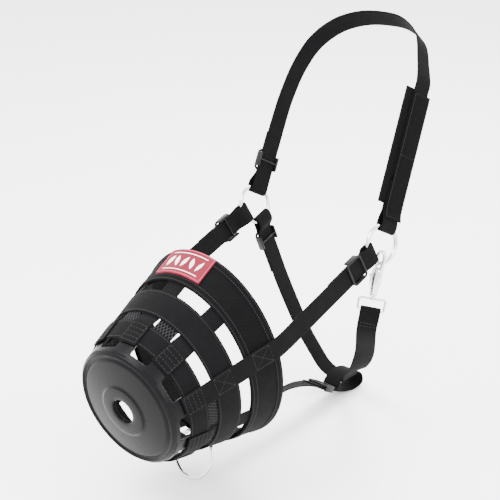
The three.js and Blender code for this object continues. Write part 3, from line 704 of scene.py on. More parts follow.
class Graph:
    """Builds one material's nodes."""

    def __init__(self, name: str) -> None:
        """Starts a material with a plain shader.

        Args:
            name: The material's name.
        """
        self.material = bpy.data.materials.new(name)
        self.material.use_nodes = True
        self.tree = self.material.node_tree
        self.shader = self.tree.nodes["Principled BSDF"]

    def node(self, kind: str, values: Optional[dict] = None, **settings: object) -> bpy.types.Node:
        """Adds a node.

        Args:
            kind: The node's type.
            values: Input names with a number, colour or socket each.
            settings: The node's own settings.

        Returns:
            The node.
        """
        made = self.tree.nodes.new(kind)
        for key, value in settings.items():
            setattr(made, key, value)
        for key, value in (values or {}).items():
            self.feed(made.inputs[key], value)
        return made

    def feed(self, socket: bpy.types.NodeSocket, value: object) -> None:
        """Sets or links an input."""
        if isinstance(value, bpy.types.NodeSocket):
            self.tree.links.new(value, socket)
        else:
            socket.default_value = value

    def math(self, operation: str, a: object, b: object = 0.0, c: object = 0.0) -> bpy.types.NodeSocket:
        """Adds a sum."""
        return self.node("ShaderNodeMath", {0: a, 1: b, 2: c}, operation=operation).outputs[0]

    def cloth(self) -> tuple[bpy.types.NodeSocket, bpy.types.NodeSocket]:
        """Gives the texture place on the cloth.

        Returns:
            Sockets of the metres across and along.
        """
        place = self.node("ShaderNodeUVMap", uv_map="Cloth")
        parts = self.node("ShaderNodeSeparateXYZ", {0: place.outputs[0]})
        return parts.outputs[0], parts.outputs[1]

    def wave(self, place: object, period: float) -> bpy.types.NodeSocket:
        """Makes a wave from 0 to 1."""
        turn = self.math("MULTIPLY", place, 2 * math.pi / period)
        return self.math("MULTIPLY_ADD", self.math("SINE", turn), 0.5, 0.5)

    def noise(self, scale: float, detail: float = 3.0, roughness: float = 0.55) -> bpy.types.NodeSocket:
        """Makes a noise in the object's own space.

        Args:
            scale: Features per metre.
            detail: How many finer layers it has.
            roughness: How strong the finer layers are.

        Returns:
            The noise's socket.
        """
        place = self.node("ShaderNodeTexCoord").outputs["Object"]
        values = {"Vector": place, "Scale": scale, "Detail": detail, "Roughness": roughness}
        return self.node("ShaderNodeTexNoise", values).outputs["Fac"]

    def blend(self, share: object, low: Sequence[float], high: Sequence[float]) -> bpy.types.NodeSocket:
        """Mixes two colours.

        Args:
            share: Share of the second colour.
            low: First colour.
            high: Second colour.

        Returns:
            The colour's socket.
        """
        mix = self.node("ShaderNodeMix", data_type="RGBA")
        self.feed(mix.inputs[0], share)
        self.feed(mix.inputs[6], (*low[:3], 1.0))
        self.feed(mix.inputs[7], (*high[:3], 1.0))
        return mix.outputs[2]

    def spread(self, value: object, low: float, high: float) -> bpy.types.NodeSocket:
        """Stretches a value from 0..1 to a range."""
        return self.math("MULTIPLY_ADD", value, high - low, low)

    def bump(self, height: object, depth: float, strength: float = 1.0) -> None:
        """Raises the surface by a height.

        Args:
            height: Height from 0 to 1.
            depth: Metres that a height of 1 stands up.
            strength: How strongly it shades.
        """
        values = {"Height": height, "Distance": depth, "Strength": strength}
        made = self.node("ShaderNodeBump", values)
        self.feed(self.shader.inputs["Normal"], made.outputs[0])

    def set(self, **values: object) -> None:
        """Sets the shader's inputs."""
        for key, value in values.items():
            self.feed(self.shader.inputs[key.replace("_", " ")], value)


class Weave(Enum):
    """How a cloth is woven."""

    RIBBED = "ribbed"
    TWILL = "twill"


@dataclass(frozen=True)
class WebbingFinish:
    """Woven polyester webbing.

    Attributes:
        weave: How it is woven.
        low: Colour between the yarns, darker as painted shade.
        high: Colour on the yarns, lighter as a painted highlight.
        rib: Metres from rib to rib.
        depth: Metres that the yarns stand up.
    """

    weave: Weave = Weave.RIBBED
    low: tuple[float, float, float] = (0.0003, 0.0003, 0.00035)
    high: tuple[float, float, float] = (0.006, 0.006, 0.0066)
    rib: float = 0.0021
    depth: float = 0.00035

    def make(self) -> bpy.types.Material:
        """Builds the material.

        Returns:
            The material.
        """
        g = Graph(f"{self.weave.value} webbing")
        across, along = g.cloth()
        ribs = g.wave(along, self.rib)
        warp = g.wave(across, self.rib * 0.85)
        if self.weave is Weave.TWILL:
            diagonal = g.math("ADD", g.math("MULTIPLY", across, 0.8), along)
            other = g.math("SUBTRACT", g.math("MULTIPLY", across, 0.8), along)
            ribs = g.wave(diagonal, self.rib * 1.25)
            warp = g.wave(other, self.rib * 0.9)
        weave = g.math("ADD", g.math("MULTIPLY", ribs, 0.65), g.math("MULTIPLY", warp, 0.35))
        rough = g.noise(900, 4, 0.65)
        height = g.math("MULTIPLY_ADD", rough, 0.35, weave)
        g.bump(height, self.depth)
        wear = g.noise(60, 5, 0.6)
        # Colour follows the weave: painted shade between the yarns and a painted highlight on them, varied
        # at random by wear.
        tone_with_painted_light = g.math("MULTIPLY", weave, g.spread(wear, 0.45, 1.35))
        g.set(
            Base_Color=g.blend(tone_with_painted_light, self.low, self.high), Roughness=g.spread(rough, 0.62, 0.9),
            Specular_IOR_Level=0.035, Sheen_Weight=0.006, Sheen_Roughness=0.4,
        )
        return g.material


@dataclass(frozen=True)
class FleeceFinish:
    """Brushed or looped pile.

    Attributes:
        name: What the pile is.
        low: Colour deep in the pile, darker as painted shade.
        high: Colour at its tips, lighter as a painted highlight.
        sheen: How strongly the tips catch the light.
    """

    name: str = "brushed lining"
    low: tuple[float, float, float] = (0.0008, 0.0008, 0.0009)
    high: tuple[float, float, float] = (0.006, 0.006, 0.0066)
    sheen: float = 0.02

    def make(self) -> bpy.types.Material:
        """Builds the material.

        Returns:
            The material.
        """
        g = Graph(self.name)
        pile = g.noise(1400, 5, 0.75)
        tufts = g.noise(260, 3, 0.6)
        height = g.math("ADD", g.math("MULTIPLY", pile, 0.7), g.math("MULTIPLY", tufts, 0.6))
        g.bump(height, 0.0009)
        # Colour follows the pile noise: painted shade deep in the pile and a painted highlight at its tips.
        g.set(
            Base_Color=g.blend(g.math("MULTIPLY", pile, tufts), self.low, self.high),
            Roughness=g.spread(pile, 0.85, 1.0), Specular_IOR_Level=0.02, Sheen_Weight=self.sheen,
            Sheen_Roughness=0.6,
        )
        return g.material


@dataclass(frozen=True)
class MeshFinish:
    """Open knitted spacer mesh, whose holes show as dark pits of painted shade.

    Attributes:
        low: Colour in the holes.
        high: Colour of the knit.
        hole: Metres from hole to hole.
    """

    # low: Colour in the holes, painted dark as shade.
    low: tuple[float, float, float] = (0.0004, 0.0004, 0.0004)
    high: tuple[float, float, float] = (0.016, 0.016, 0.017)
    hole: float = 0.0042

    def make(self) -> bpy.types.Material:
        """Builds the material.

        Returns:
            The material.
        """
        g = Graph("spacer mesh")
        across, along = g.cloth()
        a = g.wave(g.math("ADD", across, g.math("MULTIPLY", along, 0.58)), self.hole)
        b = g.wave(g.math("SUBTRACT", across, g.math("MULTIPLY", along, 0.58)), self.hole)
        knit = g.math("MULTIPLY", a, b)
        open_share = g.math("MULTIPLY", knit, 2.2)
        solid = g.math("SUBTRACT", 1.0, g.math("MINIMUM", open_share, 1.0))
        g.bump(solid, 0.0008)
        # The holes get painted shade, and the noise varies the knit's tone at random.
        tone_with_painted_light = g.math("MULTIPLY", solid, g.spread(g.noise(700), 0.5, 1.3))
        g.set(
            Base_Color=g.blend(tone_with_painted_light, self.low, self.high), Roughness=g.spread(solid, 1.0, 0.7),
            Specular_IOR_Level=0.04, Sheen_Weight=0.01,
        )
        return g.material


@dataclass(frozen=True)
class RubberFinish:
    """Moulded rubber with a satin skin.

    Attributes:
        low: Darker colour.
        high: Lighter colour, where it is dusty.
        smooth: Roughness where it is polished.
        dull: Roughness where it is dusty.
    """

    low: tuple[float, float, float] = (0.0015, 0.0015, 0.0017)
    high: tuple[float, float, float] = (0.004, 0.004, 0.0046)
    smooth: float = 0.2
    dull: float = 0.36

    def make(self) -> bpy.types.Material:
        """Builds the material.

        Returns:
            The material.
        """
        g = Graph("moulded rubber")
        cloud = g.noise(22, 5, 0.6)
        grain = g.noise(1700, 3, 0.6)
        g.bump(g.math("MULTIPLY_ADD", cloud, 1.2, g.math("MULTIPLY", grain, 0.25)), 0.0003, 0.6)
        dusty = g.blend(cloud, self.low, self.high)
        patchy = g.math("ADD", g.math("MULTIPLY", cloud, 0.7), g.math("MULTIPLY", grain, 0.3))
        g.set(
            Base_Color=dusty, Roughness=g.spread(patchy, self.smooth, self.dull), Specular_IOR_Level=0.06,
        )
        return g.material


@dataclass(frozen=True)
class MetalFinish:
    """Plated or drawn metal.

    Attributes:
        name: What the metal is.
        colour: Its colour.
        smooth: Lowest roughness.
        dull: Highest roughness.
        marks: Metres that its marks are deep.
    """

    name: str = "chromed steel"
    colour: tuple[float, float, float] = (0.66, 0.67, 0.69)
    smooth: float = 0.05
    dull: float = 0.16
    marks: float = 0.00005

    def make(self) -> bpy.types.Material:
        """Builds the material.

        Returns:
            The material.
        """
        g = Graph(self.name)
        cloud = g.noise(240, 4, 0.6)
        scratch = g.noise(2600, 2, 0.5)
        plate = g.blend(cloud, tuple(c * 0.8 for c in self.colour), self.colour)
        g.bump(g.math("MULTIPLY_ADD", scratch, 0.4, cloud), self.marks, 0.7)
        g.set(
            Base_Color=plate, Roughness=g.spread(cloud, self.smooth, self.dull), Metallic=1.0,
        )
        return g.material


@dataclass(frozen=True)
class PlasticFinish:
    """Moulded plastic.

    Attributes:
        name: What the plastic is.
        low: Darker colour.
        high: Lighter colour.
        smooth: Lowest roughness.
        dull: Highest roughness.
        grain: Metres that its grain stands up.
        gloss: How strongly it reflects.
    """

    name: str = "moulded slider"
    low: tuple[float, float, float] = (0.0008, 0.0008, 0.0008)
    high: tuple[float, float, float] = (0.0025, 0.0025, 0.003)
    smooth: float = 0.2
    dull: float = 0.34
    grain: float = 0.00008
    gloss: float = 0.14

    def make(self) -> bpy.types.Material:
        """Builds the material.

        Returns:
            The material.
        """
        g = Graph(self.name)
        cloud = g.noise(90, 4, 0.6)
        grain = g.noise(1800, 3, 0.6)
        g.bump(g.math("MULTIPLY_ADD", grain, 0.6, cloud), self.grain, 0.7)
        g.set(
            Base_Color=g.blend(cloud, self.low, self.high),
            Roughness=g.spread(cloud, self.smooth, self.dull), Specular_IOR_Level=self.gloss,
        )
        return g.material


@dataclass(frozen=True)
class FloorFinish:
    """Pale matt backdrop.

    Attributes:
        low: Darker colour.
        high: Lighter colour.
    """

    low: tuple[float, float, float] = (0.92, 0.92, 0.92)
    high: tuple[float, float, float] = (0.95, 0.95, 0.95)

    def make(self) -> bpy.types.Material:
        """Builds the material.

        Returns:
            The material.
        """
        g = Graph("pale backdrop")
        cloud = g.noise(3, 4, 0.5)
        g.set(Base_Color=g.blend(cloud, self.low, self.high), Roughness=g.spread(cloud, 0.85, 0.95))
        return g.material


@dataclass
class Wardrobe:
    """One material for each of the record's slots, and for the trims that have none."""

    webbing: bpy.types.Material = field(default_factory=WebbingFinish().make)
    # The twill's high colour is the painted highlight on its yarns.
    twill: bpy.types.Material = field(
        default_factory=WebbingFinish(
            Weave.TWILL, rib=0.0015, depth=0.00025, high=(0.0045, 0.0045, 0.005)
        ).make
    )
    lining: bpy.types.Material = field(default_factory=FleeceFinish().make)
    # The pile's high colour is the painted highlight at its tips.
    pile: bpy.types.Material = field(
        default_factory=FleeceFinish("hook and loop pile", high=(0.005, 0.005, 0.0055), sheen=0.012).make
    )
    mesh: bpy.types.Material = field(default_factory=MeshFinish().make)
    thread: bpy.types.Material = field(
        default_factory=PlasticFinish(
            "bonded thread", (0.004, 0.004, 0.004), (0.02, 0.02, 0.021), 0.45, 0.6, gloss=0.12
        ).make
    )
    rubber: bpy.types.Material = field(default_factory=RubberFinish().make)
    chrome: bpy.types.Material = field(default_factory=MetalFinish().make)
    steel: bpy.types.Material = field(
        default_factory=MetalFinish("spring steel", (0.5, 0.5, 0.52), 0.2, 0.4).make
    )
    slider: bpy.types.Material = field(default_factory=PlasticFinish().make)
    vinyl: bpy.types.Material = field(
        default_factory=PlasticFinish(
            "badge vinyl", (0.11, 0.0015, 0.01), (0.14, 0.0025, 0.014), 0.38, 0.5
        ).make
    )
    border: bpy.types.Material = field(
        default_factory=PlasticFinish(
            "badge border", (0.24, 0.018, 0.045), (0.3, 0.03, 0.06), 0.4, 0.5
        ).make
    )
    emblem: bpy.types.Material = field(
        default_factory=PlasticFinish(
            "badge emblem", (0.72, 0.66, 0.66), (0.82, 0.77, 0.77), 0.4, 0.55
        ).make
    )


def dress(
    made: bpy.types.Object, material: bpy.types.Material, body: str, nodes: Sequence[str] = (),
) -> bpy.types.Object:
    """Gives a piece its finish and ties it to the frame.

    Args:
        made: The piece.
        material: Its finish.
        body: The body that it moves with.
        nodes: The plain pieces that it stands for.

    Returns:
        The piece.
    """
    made.data.materials.clear()
    made.data.materials.append(material)
    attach(made, body)
    if nodes:
        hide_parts(*nodes)
    log.info("%s on %s", made.name, body)
    return made


@dataclass
class Piece:
    """A sub-assembly and the finishes that dress it.

    Attributes:
        looks: The finishes.
    """

    looks: Wardrobe


# ---- Basket ---------------------------------------------------------------------------------


@dataclass
class Basket(Piece):
    """The strap basket: noseband, bands, straps, lining and mesh panels.

    Attributes:
        noseband: Width of the noseband.
        middle: Start and end of the middle band.
        lower: Start and end of the lower band.
        strap_end: How far a strap stands past the lower band.
        angles: Degrees round from the top of each strap inside the bands.
        cheek: Degrees round from the top of the cheek straps.
        hem: Width of the noseband's turned hem.
        patch: Length of a strap's sewn end.
    """

    noseband: float = 45.0
    middle: tuple[float, float] = (60.0, 92.0)
    lower: tuple[float, float] = (105.0, 131.0)
    strap_end: float = 3.0
    angles: tuple[float, ...] = (0.0, 38.0, 116.0, 158.0)
    cheek: float = 76.0
    hem: float = 9.0
    patch: float = 26.5

    def build(self) -> None:
        """Builds and dresses the basket."""
        self._noseband()
        self._bands()
        self._straps()
        self._panels()

    def _noseband(self) -> None:
        """Builds the noseband with its hems and lining."""
        face = STOCK.face
        ribbon = band_ribbon(0, self.noseband, STOCK.layer(0))
        cloth = Lump()
        cloth.strap(ribbon, self.noseband, step=5, columns=14, loop=True)
        for edge in (-1, 1):
            centre = edge * (self.noseband - self.hem) / 2
            hem = band_ribbon(
                self.noseband / 2 + centre - self.hem / 2, self.noseband / 2 + centre + self.hem / 2,
                STOCK.layer(0) + face + 0.2,
            )
            cloth.strap(hem, self.hem, 0.7, step=5, columns=4, loop=True)
        dress(cloth.build("Noseband"), self.looks.twill, "muzzle", ["noseband"])
        seams = Lump()
        for x in (-self.noseband / 2 + 2.2, -self.noseband / 2 + self.hem - 1.4):
            for side in (-1, 1):
                path = [(ribbon.length * i / 24, side * x) for i in range(25)]
                seams.sew(ribbon, path, face + 0.6)
        dress(seams.build("Noseband seams"), self.looks.thread, "muzzle")
        lining = Lump()
        inner = band_ribbon(2, self.noseband - 2, STOCK.layer(-2))
        lining.strap(inner, self.noseband - 4, step=5, columns=12, loop=True, crown=0.25)
        dress(lining.build("Noseband lining"), self.looks.lining, "muzzle", ["noseband_lining"])

    def _bands(self) -> None:
        """Builds the two bands in front of the noseband."""
        face = STOCK.face
        for name, node, (start, end) in (
            ("Middle band", "middle_band", self.middle), ("Lower band", "lower_band", self.lower),
        ):
            ribbon = band_ribbon(start, end, STOCK.layer(0))
            cloth = Lump()
            cloth.strap(ribbon, end - start, step=4.5, columns=12, loop=True, crown=0.12)
            dress(cloth.build(name), self.looks.webbing, "muzzle", [node])
            seams = Lump()
            half = (end - start) / 2 - 2.4
            for side in (-half, half):
                seams.sew(ribbon, [(ribbon.length * i / 24, side) for i in range(25)], face + 0.05)
            dress(seams.build(f"{name} seams"), self.looks.thread, "muzzle")

    def _straps(self) -> None:
        """Builds the straps inside the bands, whose ends come out over the lower band."""
        inside, outside = STOCK.layer(-1), STOCK.layer(1)
        route = [
            (4.0, inside), (self.noseband, inside), (self.middle[0], inside),
            (self.middle[1] - 4, inside), (self.middle[1] + 0.5, inside), (self.lower[0] - 0.5, outside),
            (self.lower[0] + 4, outside), (self.lower[1] + self.strap_end, outside),
        ]
        names = ("top", "upper", "lower", "under")
        for angle, stem in zip(self.angles, names):
            for side, sign in (("near", 1), ("far", -1)) if angle else (("", 1),):
                node = "_".join(filter(None, (side, stem, "basket_strap")))
                ribbon = basket_ribbon(sign * angle, route)
                cloth = Lump()
                cloth.strap(ribbon, crown=0.08)
                seams = Lump()
                tip = ribbon.length
                self._end_patch(seams, ribbon, tip)
                made = cloth.build(f"{node} webbing")
                dress(made, self.looks.webbing, "muzzle", [node])
                dress(seams.build(f"{node} seams"), self.looks.thread, "muzzle")

    def _end_patch(self, seams: Lump, ribbon: Ribbon, tip: float) -> None:
        """Sews the end of a strap to the lower band and the cup.

        Args:
            seams: Where the stitches are collected.
            ribbon: The strap.
            tip: Its length.
        """
        lift = STOCK.face + 0.1
        half = STOCK.seam
        start, end = tip - self.patch, tip - STOCK.inset
        seams.sew(ribbon, [(start, -half), (end, -half), (end, half), (start, half), (start, -half)], lift)
        for i in range(1, 4):
            along = start + (end - start) * i / 4
            seams.sew(ribbon, [(along, -half), (along, half)], lift)

    def _panels(self) -> None:
        """Builds the mesh panels beside the straps in the front windows."""
        girth = BASKET.around(self.middle[1], 0).length
        margin = math.degrees((STOCK.width / 2 + 2) / girth)
        route = [(self.middle[1] - 6, STOCK.layer(-1)), (self.lower[0] + 6, STOCK.layer(-1))]
        spans = (
            ("upper_mesh_panel", self.angles[0] + margin, self.angles[1] - margin),
            ("lower_mesh_panel", self.cheek - margin / 2, self.angles[2] - margin),
        )
        for stem, low, high in spans:
            for side, sign in (("near", 1), ("far", -1)):
                middle = sign * (low + high) / 2
                width = math.radians(high - low) * BASKET.around(self.lower[0], math.radians(middle)).length
                cloth = Lump()
                cloth.strap(basket_ribbon(middle, route), width, step=2, columns=16, crown=0.1)
                node = f"{side}_{stem}"
                made = cloth.build(f"{node} knit")
                dress(made, self.looks.mesh, "muzzle", [node])


@dataclass
class Badge(Piece):
    """The moulded badge on the noseband, with a generic raised pattern.

    Attributes:
        width: Size round the noseband.
        length: Size along the basket.
        angle: Degrees round from the top.
        start: Distance forward of the mouth.
        rim: Width of the raised border.
    """

    width: float = 68.0
    length: float = 35.0
    angle: float = -5.0
    start: float = 1.0
    rim: float = 1.8

    def build(self) -> None:
        """Builds and dresses the badge."""
        lift = STOCK.layer(1)
        route = [(self.start, lift), (self.start + self.length, lift)]
        ribbon = basket_ribbon(self.angle, route)
        base = Lump()
        base.strap(ribbon, self.width, step=2.5, columns=24)
        dress(base.build("Badge"), self.looks.vinyl, "muzzle", ["badge"])
        border = Lump()
        half, top = self.width / 2 - 1.6, STOCK.face + 0.15
        corners = [(1.6, -half), (ribbon.length - 1.6, -half), (ribbon.length - 1.6, half), (1.6, half)]
        path: list[Vector] = []
        for (a0, x0), (a1, x1) in zip(corners, corners[1:] + corners[:1]):
            count = max(4, round(math.hypot(a1 - a0, x1 - x0) / 3))
            for i in range(count):
                k = i / count
                path.append(ribbon.point(a0 + (a1 - a0) * k, x0 + (x1 - x0) * k, top))
        up = BASKET.up
        border.bar(path, lambda _: self.rim / 2, 10, loop=True, flat=0.6, hint=up)
        dress(border.build("Badge border"), self.looks.border, "muzzle")
        emblem = Lump()
        self._emblem(emblem, ribbon, top)
        dress(emblem.build("Badge emblem"), self.looks.emblem, "muzzle")

    def _emblem(self, lump: Lump, ribbon: Ribbon, top: float) -> None:
        """Adds a plain pattern of leaves and bars.

        Args:
            lump: Where the mesh is collected.
            ribbon: The badge's surface.
            top: Lift of its face.
        """
        centre = ribbon.length * 0.5
        for i in range(5):
            x = -22 + 11 * i
            tilt = 0.5 if i % 2 else -0.5
            path = []
            for k in range(9):
                w = k / 8 - 0.5
                path.append(ribbon.point(centre + 15 * w, x + 8 * w * tilt, top + 0.1))
            lump.bar(path, lambda t: 0.3 + 2.5 * math.sin(math.pi * t), 10, flat=0.3, hint=BASKET.up)
        for along in (ribbon.length * 0.16, ribbon.length * 0.84):
            path = [ribbon.point(along, -26 + 52 * k / 20, top + 0.1) for k in range(21)]
            lump.bar(path, lambda _: 0.7, 8, flat=0.6, hint=BASKET.up)


@dataclass
class Cup(Piece):
    """The rubber cup at the end of the basket.

    Attributes:
        wall: Thickness of the wall.
        depth: Depth of its closed rim.
        dome: How far its face swells.
        boss_radius: Radius of the raised middle.
        boss_height: Height of the raised middle.
        hole: Radius of the grazing hole.
        tab_width: Width of the tabs that the straps are sewn to.
        tab_lap: How far a tab reaches under the lower band.
        groove: Radius of the groove inside the lip.
    """

    wall: float = 3.0
    depth: float = 7.0
    dome: float = 8.0
    boss_radius: float = 31.0
    boss_height: float = 1.6
    hole: float = 15.3
    tab_width: float = 23.0
    tab_lap: float = 14.0
    groove: float = 66.5

    def _dome(self, radius: float) -> float:
        """Gives the height of the cup's face."""
        return BASKET.length + self.dome * (1 - (radius / BASKET.cup_radius) ** 2)

    def build(self, basket: Basket) -> None:
        """Builds and dresses the cup.

        Args:
            basket: The basket that it is sewn to.
        """
        lump = Lump()
        self._face(lump)
        self._skirt(lump, basket)
        dress(lump.build("Rubber cup"), self.looks.rubber, "muzzle", ["rubber_cup"])

    def _face(self, lump: Lump) -> None:
        """Adds the cup's face and lip.

        Args:
            lump: Where the mesh is collected.
        """
        lip = BASKET.cup_radius
        top = self._dome(self.boss_radius) + self.boss_height
        outer: list[tuple[float, float]] = [
            (self.hole, top - 3.5), (self.hole, top - 0.9), (self.hole + 0.3, top - 0.3),
            (self.hole + 1.0, top), (self.hole + 4.0, top), (self.boss_radius - 1.0, top),
            (self.boss_radius - 0.2, top - 0.25), (self.boss_radius + 0.5, top - self.boss_height * 0.6),
            (self.boss_radius + 2.0, self._dome(self.boss_radius + 2.0)),
        ]
        edge = self.groove - 3.5
        for i in range(1, 13):
            r = self.boss_radius + 2.0 + (edge - self.boss_radius - 2.0) * i / 12
            outer.append((r, self._dome(r)))
        floor = self._dome(self.groove) - 1.6
        outer += [
            (self.groove - 2.2, floor + 0.9), (self.groove - 0.8, floor),
            (self.groove + 0.8, floor + 0.1), (self.groove + 2.0, floor + 1.6),
            (self.groove + 3.4, floor + 2.5), (lip - 2.2, BASKET.length + 0.6),
            (lip - 0.9, BASKET.length - 0.1), (lip - 0.1, BASKET.length - 1.4),
            (lip, BASKET.length - 3.0), (lip, BASKET.length - self.depth + 0.6),
            (lip - 0.5, BASKET.length - self.depth), (lip - self.wall, BASKET.length - self.depth),
            (lip - self.wall, BASKET.length - self.wall - 2),
            (self.groove - 4, self._dome(self.groove) - self.wall - 1.5),
            (self.boss_radius, self._dome(self.boss_radius) - self.wall),
            (self.hole, self._dome(self.boss_radius) - self.wall),
        ]
        rows: list[list[Vector]] = []
        uvs: list[list[tuple[float, float]]] = []
        count = 160
        for k in range(count):
            turn = 2 * math.pi * k / count
            side = X_AXIS * math.sin(turn) + BASKET.up * math.cos(turn)
            rows.append([BASKET.axis * h + side * r for r, h in outer])
            uvs.append([(turn * 0.07, r * MM) for r, _ in outer])
        lump.grid(rows, uvs, loop=True)

    def _back(self, angle: float, basket: Basket) -> float:
        """Gives the rear edge of the skirt, which is scalloped between the tabs.

        Args:
            angle: Degrees round from the top.
            basket: The basket that it is sewn to.

        Returns:
            Distance forward of the mouth.
        """
        wall_edge = BASKET.length - self.depth
        tab_edge = basket.lower[1] - self.tab_lap
        nearest = 180.0
        for place in (*basket.angles, basket.cheek):
            for sign in (1, -1):
                gap = abs((angle - sign * place + 180) % 360 - 180)
                nearest = min(nearest, gap)
        girth = BASKET.around(basket.lower[1], math.radians(angle)).length
        off = math.radians(nearest) * girth - self.tab_width / 2
        fillet = 5.0
        if off <= 0:
            return tab_edge
        if off >= fillet:
            return wall_edge
        return wall_edge - fillet * (1 - math.sqrt(1 - (1 - off / fillet) ** 2)) - 1e-3

    def _skirt(self, lump: Lump, basket: Basket) -> None:
        """Adds the wall behind the lip, with its tabs.

        Args:
            lump: Where the mesh is collected.
            basket: The basket that it is sewn to.
        """
        front = BASKET.length - 1.5
        count = 900
        along = 8
        rows: list[list[Vector]] = []
        uvs: list[list[tuple[float, float]]] = []
        for k in range(count):
            angle = 360 * k / count - 180
            turn = math.radians(angle)
            back = self._back(angle, basket)
            row: list[Vector] = []
            places: list[tuple[float, float]] = []
            for i in range(along + 1):
                s = front + (back - front) * i / along
                row.append(self._skin(s, turn, 0.0, basket))
                places.append((turn * 0.075, s * MM))
            row.append(self._skin(back - 0.5, turn, -0.5, basket))
            row.append(self._skin(back - 0.5, turn, -self.wall + 0.5, basket))
            places += [(turn * 0.075, back * MM)] * 2
            for i in range(along, -1, -1):
                s = front + (back - front) * i / along
                row.append(self._skin(s, turn, -self.wall, basket))
                places.append((turn * 0.075, s * MM))
            rows.append(row)
            uvs.append(places)
        lump.grid(rows, uvs, loop=True)

    def _skin(self, s: float, turn: float, depth: float, basket: Basket) -> Vector:
        """Gives a point of the skirt.

        Args:
            s: Distance forward of the mouth.
            turn: Radians round from the top.
            depth: Depth into the wall, as a negative lift.
            basket: The basket that it is sewn to.

        Returns:
            The point in millimetres.
        """
        share = min(max((s - basket.lower[1]) / (BASKET.length - self.depth - basket.lower[1]), 0), 1)
        base = -STOCK.gap * (1 - share)
        return BASKET.point(s, turn, base + depth)


# ---- Halter hardware ------------------------------------------------------------------------


def facing(yaw: float, pitch: float) -> Vector:
    """Gives a direction from two turns."""
    y, p = math.radians(yaw), math.radians(pitch)
    return Vector((math.cos(y) * math.cos(p), math.sin(y) * math.cos(p), math.sin(p)))


@dataclass(frozen=True)
class HalterRing:
    """One of the two halter rings.

    Attributes:
        side: Which side it is on.
        centre: Its centre.
        normal: Its axis.
        radius: Radius of the wire's centre line.
        slack: Play between a sewn loop and the wire.
    """

    side: str
    centre: Vector
    normal: Vector
    radius: float = 23.5
    slack: float = 1.6

    @property
    def turn_depth(self) -> float:
        """Gives how far from the centre a strap can turn round the wire."""
        return math.sqrt(self.radius**2 - (STOCK.width / 2) ** 2)

    @property
    def turn_radius(self) -> float:
        """Gives the radius of a strap's turn round the wire."""
        return STOCK.wire / 2 + self.slack + STOCK.face

    @property
    def leg_clear(self) -> float:
        """Gives how far from the centre a strap's legs stay apart."""
        return self.radius + STOCK.wire / 2 + self.slack + 1

    @property
    def leg_closed(self) -> float:
        """Gives how far from the centre a strap's legs have closed."""
        return self.leg_clear + 12

    def build(self, looks: Wardrobe) -> None:
        """Builds and dresses the ring.

        Args:
            looks: The finishes.
        """
        lump = Lump()
        path = ring_path(self.centre, self.normal, self.radius, 96)
        weld = 96 * 0.62

        def girth(share: float) -> float:
            return STOCK.wire / 2 * (1 + 0.03 * math.exp(-(((share * 95 - weld) / 1.2) ** 2)))

        lump.bar(path, girth, 20, loop=True, hint=self.normal)
        body = f"{self.side}_ring"
        dress(lump.build(f"{self.side.capitalize()} ring"), looks.chrome, body, [body])

    def toward(self, place: Vector) -> "Reach":
        """Gives the line of a strap from the ring to a place.

        Args:
            place: Where the strap goes.

        Returns:
            The strap's own directions.
        """
        away = place - self.centre
        across = self.normal.cross(away).normalized()
        out = across.cross(self.normal).normalized()
        away = (away - across * away.dot(across)).normalized()
        return Reach(self, away, across, out, across.cross(away).normalized())


@dataclass(frozen=True)
class Reach:
    """The line of a strap that leaves a ring.

    Attributes:
        ring: The ring.
        away: Direction from the ring.
        across: Direction of the strap's width.
        out: Direction from the centre to the wire in the ring's plane.
        face: Direction off the strap.
    """

    ring: HalterRing
    away: Vector
    across: Vector
    out: Vector
    face: Vector

    def beside(self, reach: float, lift: float) -> Station:
        """Gives a place on the strap's line."""
        return Station(self.ring.centre + self.away * reach + self.face * lift, self.across)

    def turn(self, entry: int = 1) -> list[Station]:
        """Gives the turn round the wire, in on one side and out on the other.

        Args:
            entry: 1 where it comes in on the face's side, or -1.

        Returns:
            The places.
        """
        ring = self.ring
        hub = ring.centre + self.out * ring.turn_depth
        reach = ring.leg_clear - ring.turn_depth
        r = ring.turn_radius
        places = [(reach, r)]
        for degrees in range(90, -91, -30):
            turn = math.radians(degrees)
            places.append((-r * math.cos(turn), r * math.sin(turn)))
        places.append((reach, -r))
        return [Station(hub + self.away * u + self.face * (entry * lift), self.across) for u, lift in places]


NEAR_RING = HalterRing("near", Vector((102, 194, 94)), facing(-10, 12))
FAR_RING = HalterRing("far", Vector((-102, 194, 94)), facing(176, -21))


def tail_reach(reach: float, travel: float) -> float:
    """Gives where the returned end of a strap stops."""
    return reach + travel + Slider.length / 2 + 4


